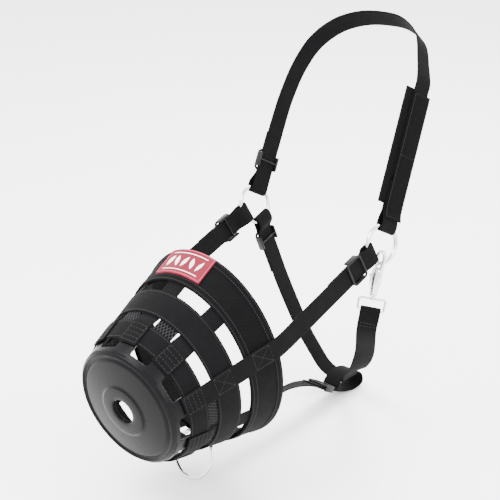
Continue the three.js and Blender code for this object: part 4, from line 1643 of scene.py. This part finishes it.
@dataclass
class Slider:
    """A three-bar slider on a doubled strap.

    Attributes:
        name: The node and body.
        at: Middle of the strap's own layer.
        across: Direction of the strap's width.
        face: Direction from the strap's own layer to the returned end.
        outer: 1 where the end bars are on the returned end's side, or -1.
        bar: Diameter of the bars.
        rail: Width of the rails.
        length: Length along the strap.
        corner: Radius of the frame's corners.
    """

    name: str
    at: Vector
    across: Vector
    face: Vector
    outer: int
    bar: float = 2.4
    rail: float = 2.6
    length: float = 28.0
    corner: float = 4.5

    def build(self, looks: Wardrobe) -> None:
        """Builds and dresses the slider.

        Args:
            looks: The finishes.
        """
        r = self.bar / 2
        strap_face = STOCK.face + STOCK.gap + r
        returned = STOCK.pitch + strap_face
        ends, centre = (returned, -strap_face) if self.outer > 0 else (-strap_face, returned)
        low, high = min(ends, centre) - r, max(ends, centre) + r
        inside = STOCK.width / 2 + 2 * STOCK.gap
        span = 2 * (inside + self.rail / 2)
        along = self.across.cross(self.face)
        axes = (self.across, self.face, along)
        lump = Lump()
        for sign in (1, -1):
            middle = self.at + self.across * (sign * span / 2) + self.face * ((high + low) / 2)
            size = (self.rail, high - low + 0.3, self.length - 2 * self.corner)
            lump.block(middle, axes, size, 0.9)
        bar = self.at + self.face * centre
        middle_bar = [bar + self.across * (span / 2 * k / 6) for k in range(-6, 7)]
        lump.bar(middle_bar, lambda _: r, 14, hint=self.face)
        rim: list[Vector] = []
        w, h = span / 2, self.length / 2 - r - STOCK.gap
        for cx, cz, begin in ((w, h, 0), (-w, h, 90), (-w, -h, 180), (w, -h, 270)):
            mx, mz = cx - math.copysign(self.corner, cx), cz - math.copysign(self.corner, cz)
            for k in range(7):
                turn = math.radians(begin + 15 * k)
                x, z = mx + self.corner * math.cos(turn), mz + self.corner * math.sin(turn)
                rim.append(self.at + self.face * ends + (self.across * x + along * z))
        half_rim = self.rail * 0.62
        lump.bar(rim, lambda _: half_rim, 14, loop=True, flat=r / half_rim, hint=self.face)
        made = lump.build(self.name.replace("_", " ").capitalize())
        dress(made, looks.slider, self.name, [self.name])


@dataclass
class LeadRing(Piece):
    """The ring under the basket and the sewn loop that it hangs from.

    Attributes:
        radius: Radius of the wire's centre line.
        forward: Degrees forward of plumb.
        lap: Sewn length of the loop on each band.
    """

    radius: float = 29.0
    forward: float = 20.0
    lap: float = 11.0

    def build(self, basket: Basket) -> None:
        """Builds and dresses the ring and its loop.

        Args:
            basket: The basket that it hangs from.
        """
        start, end = basket.noseband, basket.middle[0]
        lift = STOCK.layer(1)
        ribbon = basket_ribbon(180, [(start - self.lap, lift), (end + self.lap, lift)])
        cloth = Lump()
        cloth.strap(ribbon, step=1.5)
        dress(cloth.build("Lead ring loop"), self.looks.webbing, "muzzle", ["lead_ring_loop"])
        seams = Lump()
        half = STOCK.seam
        for a, b in ((1.5, self.lap - 1.5), (ribbon.length - self.lap + 1.5, ribbon.length - 1.5)):
            seams.sew(ribbon, box_seam(a, b, half), STOCK.face + 0.1)
        dress(seams.build("Lead ring loop seams"), self.looks.thread, "muzzle")
        edge = STOCK.width / 2
        bow = BASKET.half_height / BASKET.half_width**2
        inner = self.radius - STOCK.wire / 2 - 4 * STOCK.gap
        hang = math.sqrt(inner**2 - edge**2) - (STOCK.face + bow * edge**2 / 2)
        lean = math.radians(self.forward)
        down = Vector((0, -math.sin(lean), -math.cos(lean)))
        hub = BASKET.point((start + end) / 2, math.pi, lift)
        lump = Lump()
        normal = X_AXIS.cross(down).normalized()
        path = ring_path(hub + down * hang, normal, self.radius, 96)
        lump.bar(path, lambda _: STOCK.wire / 2, 20, loop=True, hint=normal)
        dress(lump.build("Lead ring"), self.looks.chrome, "lead_ring", ["lead_ring"])


# ---- Halter straps --------------------------------------------------------------------------


def strap_object(
    name: str, ribbon: Ribbon, looks: Wardrobe, body: str, nodes: Sequence[str],
    seams: Sequence[tuple[Sequence[tuple[float, float]], float]] = (), width: float = STOCK.width,
) -> None:
    """Builds and dresses a strap with its seams.

    Args:
        name: The strap's name.
        ribbon: Its strip.
        looks: The finishes.
        body: The body that it moves with.
        nodes: The plain pieces that it stands for.
        seams: Seam paths, each with the lift of the surface it lies on.
        width: Width of the strap.
    """
    cloth = Lump()
    cloth.strap(ribbon, width, step=2.0, crown=0.06)
    dress(cloth.build(name), looks.webbing, body, nodes)
    if seams:
        lump = Lump()
        for path, lift in seams:
            lump.sew(ribbon, path, lift)
        dress(lump.build(f"{name} seams"), looks.thread, body)


@dataclass
class CheekStrap(Piece):
    """A strap from the cup, outside the bands, round a halter ring and back through its slider.

    Attributes:
        ring: The ring that it reaches.
        slider_reach: Ring centre to slider.
        travel: How far the slider can move.
        passes: Distances forward of the mouth that it passes on the basket.
        boxes: Start and end of the boxed seams along the strap.
    """

    ring: HalterRing
    slider_reach: float = 56.0
    travel: float = 30.0
    passes: tuple[float, ...] = (100.0, 65.0, 30.0)
    boxes: tuple[tuple[float, float], ...] = ((45.0, 69.0), (101.0, 126.0))

    def build(self, basket: Basket) -> None:
        """Builds and dresses the strap and its slider.

        Args:
            basket: The basket that it is sewn to.
        """
        side = self.ring.side
        sign = 1 if side == "near" else -1
        angle = math.radians(sign * basket.cheek)
        lift = STOCK.layer(1)

        def on_basket(s: float) -> Station:
            return Station(BASKET.point(s, angle, lift), BASKET.around(s, angle).normalized())

        mouth = on_basket(0)
        line = self.ring.toward(mouth.at)
        tail = tail_reach(self.slider_reach, self.travel)
        half = -sign * STOCK.pitch / 2
        stations = [on_basket(s) for s in (basket.lower[1] + basket.strap_end, *self.passes)]
        stations += [
            mouth, line.beside(tail + 60, half), line.beside(tail + 20, half), line.beside(tail, half),
            line.beside(self.slider_reach, half), line.beside(self.ring.leg_closed, half),
            *line.turn(-sign), line.beside(self.ring.leg_closed, -half),
            line.beside(self.slider_reach, -half), line.beside(tail, -half),
        ]
        ribbon = free_ribbon(stations)
        out = (STOCK.face + STOCK.thread) * (1 if self._faces_out(ribbon) else -1)
        edge, start = STOCK.seam, STOCK.inset
        seams = [([(start, -edge), (26, -edge), (26, edge), (start, edge), (start, -edge)], out)]
        seams += [([(start + 6 * i, -edge), (start + 6 * i, edge)], out) for i in range(1, 4)]
        seams += [(box_seam(first, last, edge), out) for first, last in self.boxes]
        name = f"{side}_cheek_strap"
        strap_object(name.replace("_", " ").capitalize(), ribbon, self.looks, "muzzle", [name], seams)
        at = line.beside(self.slider_reach, half).at
        node = f"{side}_cheek_slider"
        Slider(node, at, line.across, line.face * sign, -sign).build(self.looks)

    @staticmethod
    def _faces_out(ribbon: Ribbon) -> bool:
        """Tells whether the strip's face points away from the basket.

        Args:
            ribbon: The strip.

        Returns:
            True where it does.
        """
        at = ribbon.point(30)
        out = ribbon.point(30, 0, 1) - at
        return out.dot(at - BASKET.axis * at.dot(BASKET.axis)) > 0


@dataclass
class Crown(Piece):
    """The crown strap over the poll, with its slider and its breakaway.

    Attributes:
        rise: Height of its top along its own lean.
        half_width: Half its width between the sides.
        lean: Degrees up from level.
        slider_reach: Ring centre to slider.
        travel: How far the slider can move.
        start: Where the breakaway starts above the near ring.
        end: Where it ends.
        lap: Start of the breakaway to the strap's end.
        loop_lap: Start of the breakaway to the loop's ends.
        aim: Shares of the half-width, and the far height, that the straps leave the rings for.
        roll: How far the strap's front edge stands up over the poll.
        lead_out: Straight run past the breakaway.
        panel: Width and sideways shift of the back panel.
        flap: Width and sideways shift of the front flap.
        flap_foot: Clear wire to the flap's foot.
        flap_short: Flap's top to the panel's top.
        arch: Shares of the half-width and the rise that the strap passes.
    """

    rise: float = 276.0
    half_width: float = 115.0
    lean: float = 58.0
    slider_reach: float = 58.0
    travel: float = 20.0
    start: float = 49.6
    end: float = 196.0
    lap: float = 35.4
    loop_lap: float = 28.4
    aim: tuple[float, float, float] = (0.68, -0.99, 120.0)
    roll: float = 0.84
    lead_out: float = 12.0
    panel: tuple[float, float] = (38.0, 5.0)
    flap: tuple[float, float] = (28.0, -2.0)
    flap_foot: float = 3.0
    flap_short: float = 4.0
    arch: tuple[tuple[float, float], ...] = (
        (0.6, 0.83), (0.45, 0.94), (0.2, 0.995), (-0.08, 1.0), (-0.38, 0.978), (-0.66, 0.92),
        (-0.87, 0.82), (-0.97, 0.69), (-0.995, 0.53),
    )

    def _point(self, x: float, height: float) -> Vector:
        """Gives a point in the crown's own plane.

        Args:
            x: Distance towards the near side.
            height: Distance up the lean.

        Returns:
            The point in millimetres.
        """
        lean = math.radians(self.lean)
        middle = Vector((x, NEAR_RING.centre.y, NEAR_RING.centre.z))
        return middle + Vector((0, math.cos(lean), math.sin(lean))) * height

    def build(self) -> None:
        """Builds and dresses the crown."""
        near_share, far_share, far_height = self.aim
        near = NEAR_RING.toward(self._point(near_share * self.half_width, self.end))
        far = FAR_RING.toward(self._point(far_share * self.half_width, far_height))
        half = STOCK.pitch / 2
        tail = tail_reach(self.slider_reach, self.travel)
        far_side = [
            far.beside(tail + 14, half), far.beside(tail, half), far.beside(self.slider_reach, half),
            far.beside(FAR_RING.leg_closed, half), *far.turn(), far.beside(FAR_RING.leg_closed, -half),
            far.beside(self.slider_reach, -half), far.beside(tail, -half),
        ]
        low = self.start + self.lap
        reaches = (low, (low + self.end) / 2, self.end, self.end + self.lead_out)
        near_side = [near.beside(u, -STOCK.pitch) for u in reaches]
        over = []
        for i, (x, w) in enumerate(self.arch):
            share = (i + 1) / (len(self.arch) + 1)
            across = near.across.lerp(-far.across, share) + Z_AXIS * (self.roll * math.sin(math.pi * share))
            over.append(Station(self._point(x * self.half_width, w * self.rise), across.normalized()))
        stations = near_side + over + [Station(s.at, -s.across) for s in far_side]
        ribbon = free_ribbon(stations)
        strap_object("Crown strap", ribbon, self.looks, "crown", ["crown_strap"])
        at = far.beside(self.slider_reach, half).at
        Slider("crown_slider", at, far.across, -far.face, 1).build(self.looks)
        self._breakaway(near)

    def _breakaway(self, near: Reach) -> None:
        """Builds the loop, panel and flap on the near side.

        Args:
            near: The strap's line from the near ring.
        """
        pitch = STOCK.pitch
        loop_end = self.start + self.loop_lap
        closed = NEAR_RING.leg_closed
        straight = closed + 8
        stations = [
            near.beside(loop_end, pitch), near.beside(straight, pitch), near.beside(closed, pitch),
            *near.turn(), near.beside(closed, -pitch), near.beside(straight, -pitch),
            near.beside(loop_end, -pitch),
        ]
        ribbon = free_ribbon(stations)
        edge = STOCK.seam
        box = box_seam(ribbon.length - 20, ribbon.length - 3, edge)
        seams = [(box, sign * (STOCK.face + STOCK.thread)) for sign in (1, -1)]
        strap_object("Breakaway loop", ribbon, self.looks, "crown", ["breakaway_loop"], seams)

        def layer(start: float, end: float, lift: float, shift: float) -> Ribbon:
            places = [near.beside(u, lift) for u in (start, (start + end) / 2, end)]
            return free_ribbon(places, shift)

        width, shift = self.panel
        panel = Lump()
        back = layer(straight, self.end, 0, shift)
        panel.strap(back, width, step=1.6, columns=20, crown=0.25)
        dress(panel.build("Breakaway panel"), self.looks.pile, "crown", ["breakaway_panel"])
        edging = Lump()
        for side in (-1, 1):
            path = [back.point(back.length * i / 60, side * (width / 2 - 1.2), 0) for i in range(61)]
            edging.bar(path, lambda _: 1.35, 10, flat=1.0, hint=near.face)
        dress(edging.build("Breakaway panel edging"), self.looks.webbing, "crown")
        width, shift = self.flap
        foot = NEAR_RING.leg_clear + self.flap_foot
        top_end = self.end - self.flap_short
        places = [near.beside(foot, -NEAR_RING.turn_radius - pitch), near.beside(closed, -2.2 * pitch)]
        places += [near.beside(u, -2 * pitch) for u in (self.start, (self.start + top_end) / 2, top_end)]
        front = free_ribbon(places, shift)
        flap = Lump()
        flap.strap(front, width, step=1.6, columns=16, crown=0.3)
        body, slot = "breakaway_flap", "hook_and_loop"
        dress(flap.build("Breakaway flap"), self.looks.pile, body, [body])
        seam = Lump()
        rim = width / 2 - 1.8
        top = STOCK.face + 0.15
        last, middle = front.length - 2, front.length * 0.5
        for lift in (top, -top):
            seam.sew(front, [(2, -rim), (last, -rim), (last, rim), (2, rim), (2, -rim)], lift)
            seam.sew(front, [(middle, -rim), (middle, rim)], lift)
        dress(seam.build("Breakaway flap seams"), self.looks.thread, body)


@dataclass
class Snap(Piece):
    """The snap hook on the near ring, with its bolt, spring and square eye.

    Attributes:
        lean: Degrees forward of plumb.
        rise: How far the hook's bend stands above the ring's wire.
        inner: Inner radius of the hook.
        bar: Diameter of the hook's section.
        barrel: Radius of the barrel.
        top: Height of the barrel's top.
        bottom: Height of its bottom.
        shift: How far the barrel stands to the hook's side.
        tip: Height of the hook's tip.
        bolt_radius: Radius of the bolt.
        bolt_shift: How far the bolt stands to its side.
        bolt_bottom: Height of the bolt's foot.
        travel: How far the bolt moves.
        bore_bottom: Height of the bore's foot.
        knob: Height of the thumb knob.
        knob_radius: Radius of the thumb knob.
        eye: Outer width and height of the eye.
        eye_wire: Thickness of the eye.
        eye_turn: Degrees that the eye is turned about the snap.
    """

    lean: float = 16.0
    rise: float = 8.0
    inner: float = 4.2
    bar: float = 4.2
    barrel: float = 7.0
    top: float = -14.0
    bottom: float = -49.0
    shift: float = -1.0
    tip: float = -3.5
    bolt_radius: float = 1.55
    bolt_shift: float = -5.2
    bolt_bottom: float = -33.0
    travel: float = 8.0
    bore_bottom: float = -45.5
    knob: float = -24.0
    knob_radius: float = 1.3
    eye: tuple[float, float] = (36.0, 18.0)
    eye_wire: float = 3.2
    eye_turn: float = 52.0

    def __post_init__(self) -> None:
        """Works out the snap's own directions."""
        lean = math.radians(self.lean)
        self.up = Vector((0, math.sin(lean), math.cos(lean)))
        line = NEAR_RING.toward(NEAR_RING.centre - self.up)
        self.origin = NEAR_RING.centre + line.out * NEAR_RING.radius + self.up * self.rise
        self.y = (line.across - self.up * self.up.dot(line.across)).normalized()
        self.x = self.y.cross(self.up)
        turn = math.radians(self.eye_turn)
        self.eye_x = self.x * math.cos(turn) + self.y * math.sin(turn)
        self.eye_y = self.y * math.cos(turn) - self.x * math.sin(turn)
        self.eye_top = self.bottom - 2.5

    def _at(self, x: float, y: float, z: float) -> Vector:
        """Gives a point in the snap's own frame."""
        return self.origin + self.x * x + self.y * y + self.up * z

    def build(self) -> None:
        """Builds and dresses the snap."""
        self._body()
        self._bolt()
        self._spring()
        self._eye()

    def _body(self) -> None:
        """Builds the barrel and hook."""
        lump = Lump()
        profile = [
            (2.3, self.bottom + 0.6), (2.6, self.bottom), (4.6, self.bottom), (5.0, self.bottom + 0.4),
            (5.1, self.bottom + 2.4), (4.6, self.bottom + 3.0), (4.7, self.bottom + 4.2),
            (5.5, self.bottom + 6.5), (6.6, self.bottom + 14), (self.barrel, self.bottom + 18),
            (self.barrel, self.top - 6), (self.barrel - 0.4, self.top - 3),
            (self.barrel - 1.6, self.top - 0.8), (self.barrel - 3.0, self.top), (0.01, self.top),
        ]
        lump.turned(profile, self._at(self.shift, 0, 0), self.up, self.x, 40)
        reach = self.inner + self.bar / 2
        points = [
            self._at(3.2, 0, self.top - 5), self._at(5.2, 0, self.top + 3), self._at(reach, 0, -3),
        ]
        for degrees in range(0, 181, 30):
            turn = math.radians(degrees)
            points.append(self._at(reach * math.cos(turn), 0, reach * math.sin(turn)))
        points.append(self._at(-reach + 0.6, 0, self.tip))
        path = [smooth_point(points, i / 70) for i in range(71)]

        def girth(t: float) -> float:
            tip = math.sqrt(max(1 - max((t - 0.95) / 0.05, 0) ** 2, 0.12))
            return self.bar / 2 * (1 + 0.35 * max(0, 0.22 - t) / 0.22) * tip

        lump.bar(path, girth, 18, hint=self.y)
        slot_top = self.knob + self.knob_radius + STOCK.gap
        slot_bottom = self.knob - self.travel - self.knob_radius - STOCK.gap
        dress(lump.build("Snap body"), self.looks.chrome, "snap", ["snap_body"])
        slot = Lump()
        middle = self._at(self.bolt_shift + 0.5, -self.barrel * 0.72, (slot_top + slot_bottom) / 2)
        axes = (self.x, self.y, self.up)
        slot.block(middle, axes, (3.0, 1.6, slot_top - slot_bottom), 0.7)
        dress(slot.build("Snap slot"), self.looks.slider, "snap")

    def _bolt(self) -> None:
        """Builds the bolt and its knob."""
        lump = Lump()
        high = self.tip - STOCK.gap
        profile = [
            (0.01, self.bolt_bottom), (self.bolt_radius, self.bolt_bottom),
            (self.bolt_radius, high - 0.5), (self.bolt_radius - 0.4, high), (0.01, high),
        ]
        lump.turned(profile, self._at(self.bolt_shift, 0, 0), self.up, self.x, 24)
        head = ((1.2, -0.8), (1.9, -0.3), (1.9, 0.4), (1.3, 0.9), (0.01, 1.0))
        knob = [(0.01, 0), (1.2, 0)] + [(r, self.barrel + h) for r, h in head]
        lump.turned(knob, self._at(self.bolt_shift, 0, self.knob), -self.y, self.x, 24)
        dress(lump.build("Snap bolt"), self.looks.chrome, "snap_bolt", ["snap_bolt"])

    def _spring(self) -> None:
        """Builds the spring under the bolt."""
        lump = Lump()
        wire = 0.3
        low, high = self.bore_bottom + 1, self.bolt_bottom - 1
        path = []
        for i in range(121):
            turn = 2 * math.pi * i / 20
            r = self.bolt_radius - 0.4
            z = low + (high - low) * i / 120
            path.append(self._at(self.bolt_shift + r * math.cos(turn), r * math.sin(turn), z))
        lump.bar(path, lambda _: wire, 8, hint=self.up)
        dress(lump.build("Snap spring"), self.looks.steel, "snap", ["snap_spring"])

    def _eye(self) -> None:
        """Builds the square eye and its swivel stem."""
        lump = Lump()
        w, h = self.eye[0] / 2 - self.eye_wire / 2, self.eye[1] / 2 - self.eye_wire / 2
        middle = self._at(0, 0, self.eye_top - self.eye[1] / 2)
        corner = 2.6
        path: list[Vector] = []
        for cx, cz, begin in ((w, h, 0), (-w, h, 90), (-w, -h, 180), (w, -h, 270)):
            sx, sz = math.copysign(corner, cx), math.copysign(corner, cz)
            for k in range(7):
                turn = math.radians(begin + 15 * k)
                x = cx - sx + corner * math.cos(turn)
                z = cz - sz + corner * math.sin(turn)
                path.append(middle + self.eye_x * x + self.up * z)
        lump.bar(path, lambda _: self.eye_wire / 2, 14, loop=True, hint=self.eye_y)
        collar = [
            (0.01, self.bottom - 5.6), (2.9, self.bottom - 5.6), (3.3, self.bottom - 4.6),
            (3.1, self.bottom - 2.2), (2.2, self.bottom - 1.2), (1.9, self.bottom - 0.6),
            (1.9, self.bottom + 3.0), (2.5, self.bottom + 3.0), (2.5, self.bottom + 4.4),
            (0.01, self.bottom + 4.4),
        ]
        lump.turned(collar, self._at(0, 0, 0), self.up, self.x, 28)
        dress(lump.build("Snap eye"), self.looks.chrome, "muzzle", ["snap_eye"])

    def eye_station(self, drop: float, lift: float) -> Station:
        """Gives a place on a strap sewn round the eye's lower bar."""
        bar = self._at(0, 0, self.eye_top - self.eye[1] + self.eye_wire / 2)
        return Station(bar - self.up * drop + self.eye_y * lift, -self.eye_x)


@dataclass
class Throat(Piece):
    """The throat strap from the snap's eye, under the jaw and up to the far ring.

    Attributes:
        back: How far back it passes under the jaw.
        drop: Height there.
        slider_reach: Ring centre to slider.
        travel: How far the slider can move.
        far_aim: What the strap leaves the far ring for.
        sewn: Length of its sewn end behind the eye.
    """

    back: float = 260.0
    drop: float = -152.0
    slider_reach: float = 52.0
    travel: float = 30.0
    far_aim: tuple[float, float, float] = (-83.64, 228.0, -19.0)
    sewn: float = 24.0

    def build(self, snap: Snap) -> None:
        """Builds and dresses the strap and its slider.

        Args:
            snap: The snap whose eye it is sewn round.
        """
        radius = snap.eye_wire * 0.75 + STOCK.gap + STOCK.face
        turn = []
        for degrees in range(-90, 91, 45):
            a = math.radians(degrees)
            turn.append(snap.eye_station(-radius * math.cos(a), -radius * math.sin(a)))
        side = -snap.eye_x
        forward = -Y_AXIS
        half = STOCK.pitch / 2
        far = FAR_RING.toward(Vector(self.far_aim))
        tail = tail_reach(self.slider_reach, self.travel)
        b, d = self.back, self.drop
        stations = [
            snap.eye_station(self.sewn, STOCK.pitch), snap.eye_station(10, radius), *turn,
            snap.eye_station(10, -radius + 1), snap.eye_station(self.sewn, 0),
            Station(Vector((80, b - 64, d + 88)), side),
            Station(Vector((55, b - 42, d + 50)), side.lerp(forward, 0.5)),
            Station(Vector((24, b - 17, d + 20)), forward), Station(Vector((11, b - 3, d + 4)), forward),
            Station(Vector((0, b, d)), forward), Station(Vector((-14, b, d + 1)), forward),
            Station(Vector((-28, b - 4, d + 10)), forward),
            Station(Vector((-44, b - 6, d + 29)), forward),
            Station(Vector((-64, b - 10, d + 60)), forward), far.beside(tail + 16, half),
            far.beside(tail, half), far.beside(self.slider_reach, half),
            far.beside(FAR_RING.leg_closed, half), *far.turn(), far.beside(FAR_RING.leg_closed, -half),
            far.beside(self.slider_reach, -half), far.beside(tail, -half),
        ]
        ribbon = free_ribbon(stations)
        edge = STOCK.seam
        at = self.sewn + radius * math.pi + 21
        face = STOCK.face + STOCK.thread
        seams = []
        for sign in (1, -1):
            seams.append(([(at, -edge), (at, edge)], sign * face))
            seams.append(([(at - 4, -edge), (at - 4, edge)], sign * face))
        strap_object("Throat strap", ribbon, self.looks, "muzzle", ["throat_strap"], seams)
        place = far.beside(self.slider_reach, half).at
        Slider("throat_slider", place, far.across, -far.face, 1).build(self.looks)


@dataclass
class Chin(Piece):
    """The chin strap from the noseband to a loose loop round the throat strap.

    Attributes:
        throat: The throat strap that it goes round.
        slider_share: Where the slider is on the straight stretch.
        slack: Distance back, height and roll in degrees of each place on its slack run.
    """

    throat: Throat
    slider_share: float = 0.55
    slack: tuple[tuple[float, float, float], ...] = (
        (45.0, -125.0, 24.0), (85.0, -123.0, 34.0), (125.0, -119.0, 30.0), (156.0, -122.0, 12.0),
    )

    def build(self) -> None:
        """Builds and dresses the strap and its slider."""
        b, d = self.throat.back, self.throat.drop
        bow = BASKET.half_height / BASKET.half_width**2

        def at(y: float, z: float, roll: float = 0.0) -> Station:
            turn = math.radians(roll)
            return Station(Vector((0, y, z)), Vector((math.cos(turn), 0, math.sin(turn))))

        start, end = Vector((0, b - 77, d + 21)), Vector((0, b - 28, d - 6))
        face = (end - start).normalized().cross(X_AXIS)

        def stretch(share: float, lift: float) -> Station:
            return Station(start.lerp(end, share) + face * lift, X_AXIS)

        sewn = [Station(BASKET.point(s, math.pi, STOCK.layer(-1)), X_AXIS, bow) for s in (34, 20, 10, 0)]
        stations = sewn + [
            *(at(*place) for place in self.slack), stretch(0, 0),
            stretch(self.slider_share, 0), stretch(1, 0), at(b - 8, d - 14), at(b + 14, d - 18),
            at(b + 28, d - 14), at(b + 25, d - 1), at(b + 6, d + 10), at(b - 14, d + 10),
            at(b - 26, d + 2), stretch(0.96, -STOCK.pitch), stretch(self.slider_share, -STOCK.pitch),
            stretch(0.05, -STOCK.pitch),
        ]
        ribbon = free_ribbon(stations)
        edge = STOCK.seam
        seams = [(box_seam(3, 22, edge), sign * (STOCK.face + STOCK.thread)) for sign in (1, -1)]
        strap_object("Chin strap", ribbon, self.looks, "muzzle", ["chin_strap"], seams)
        Slider("chin_slider", stretch(self.slider_share, 0).at, X_AXIS, -face, 1).build(self.looks)


# ---- Studio ---------------------------------------------------------------------------------


@dataclass
class Studio:
    """Pale floor, soft light and the camera.

    Attributes:
        target: What the camera looks at, in metres.
        azimuth: Degrees round from straight in front.
        elevation: Degrees above the horizon.
        distance: Metres from the target.
        lens: Focal length in millimetres.
        surround: Brightness of the surroundings.
    """

    target: tuple[float, float, float] = (0.0026, 0.0625, 0.1012)
    azimuth: float = 40.65
    elevation: float = 23.35
    distance: float = 1.7996
    lens: float = 108.0
    surround: float = 4.0

    def build(self, low: float) -> None:
        """Builds the studio.

        Args:
            low: Height of the floor, in metres.
        """
        self._floor(low)
        self._world()
        self._lights()
        self._camera()

    def _floor(self, low: float) -> None:
        """Builds the floor.

        Args:
            low: Its height, in metres.
        """
        reach = 12.0
        signs = ((-1, -1), (1, -1), (1, 1), (-1, 1))
        corners = [Vector((x * reach, y * reach, low)) for x, y in signs]
        floor = make_object("Floor", corners, [[0, 1, 2, 3]], scale=1.0)
        floor.data.materials.append(FloorFinish().make())
        floor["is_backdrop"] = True

    def _world(self) -> None:
        """Lights the surroundings."""
        world = bpy.data.worlds.new("Studio")
        bpy.context.scene.world = world
        world.use_nodes = True
        background = world.node_tree.nodes["Background"]
        background.inputs["Color"].default_value = (1.0, 1.0, 1.0, 1.0)
        background.inputs["Strength"].default_value = self.surround

    def _lights(self) -> None:
        """Adds the soft lights."""
        focus = Vector(self.target)
        for name, azimuth, elevation, distance, size, power in (
            ("Key", -25.0, 55.0, 1.6, 0.9, 60.0), ("Fill", 85.0, 30.0, 1.8, 1.1, 30.0),
            ("Rim", 200.0, 50.0, 1.8, 0.8, 50.0),
        ):
            light = bpy.data.lights.new(name, "AREA")
            light.energy = power
            light.shape = "SQUARE"
            light.size = size
            made = bpy.data.objects.new(name, light)
            bpy.context.scene.collection.objects.link(made)
            made.location = focus + self._toward(azimuth, elevation) * distance
            made.rotation_euler = (focus - made.location).to_track_quat("-Z", "Y").to_euler()

    def _camera(self) -> None:
        """Adds the camera."""
        data = bpy.data.cameras.new("Camera")
        data.lens = self.lens
        data.sensor_width = 36.0
        data.clip_end = 50.0
        made = bpy.data.objects.new("Camera", data)
        bpy.context.scene.collection.objects.link(made)
        focus = Vector(self.target)
        made.location = focus + self._toward(self.azimuth, self.elevation) * self.distance
        made.rotation_euler = (focus - made.location).to_track_quat("-Z", "Y").to_euler()
        bpy.context.scene.camera = made

    @staticmethod
    def _toward(azimuth: float, elevation: float) -> Vector:
        """Gives the direction of a place seen from the target."""
        a, e = math.radians(azimuth), math.radians(elevation)
        return Vector((math.sin(a) * math.cos(e), -math.cos(a) * math.cos(e), math.sin(e)))


def main() -> None:
    """Builds the dressed part and its studio."""
    logging.basicConfig(level=logging.INFO, format="%(message)s")
    looks = Wardrobe()
    basket = Basket(looks)
    snap = Snap(looks)
    throat = Throat(looks)
    basket.build()
    Badge(looks).build()
    Cup(looks).build(basket)
    LeadRing(looks).build(basket)
    for ring in (NEAR_RING, FAR_RING):
        ring.build(looks)
        CheekStrap(looks, ring).build(basket)
    Crown(looks).build()
    snap.build()
    throat.build(snap)
    Chin(looks, throat).build()
    Studio().build(min(cad_bounds[0][2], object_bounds()[0][2]) - 0.002)


if __name__ == "__main__":
    main()
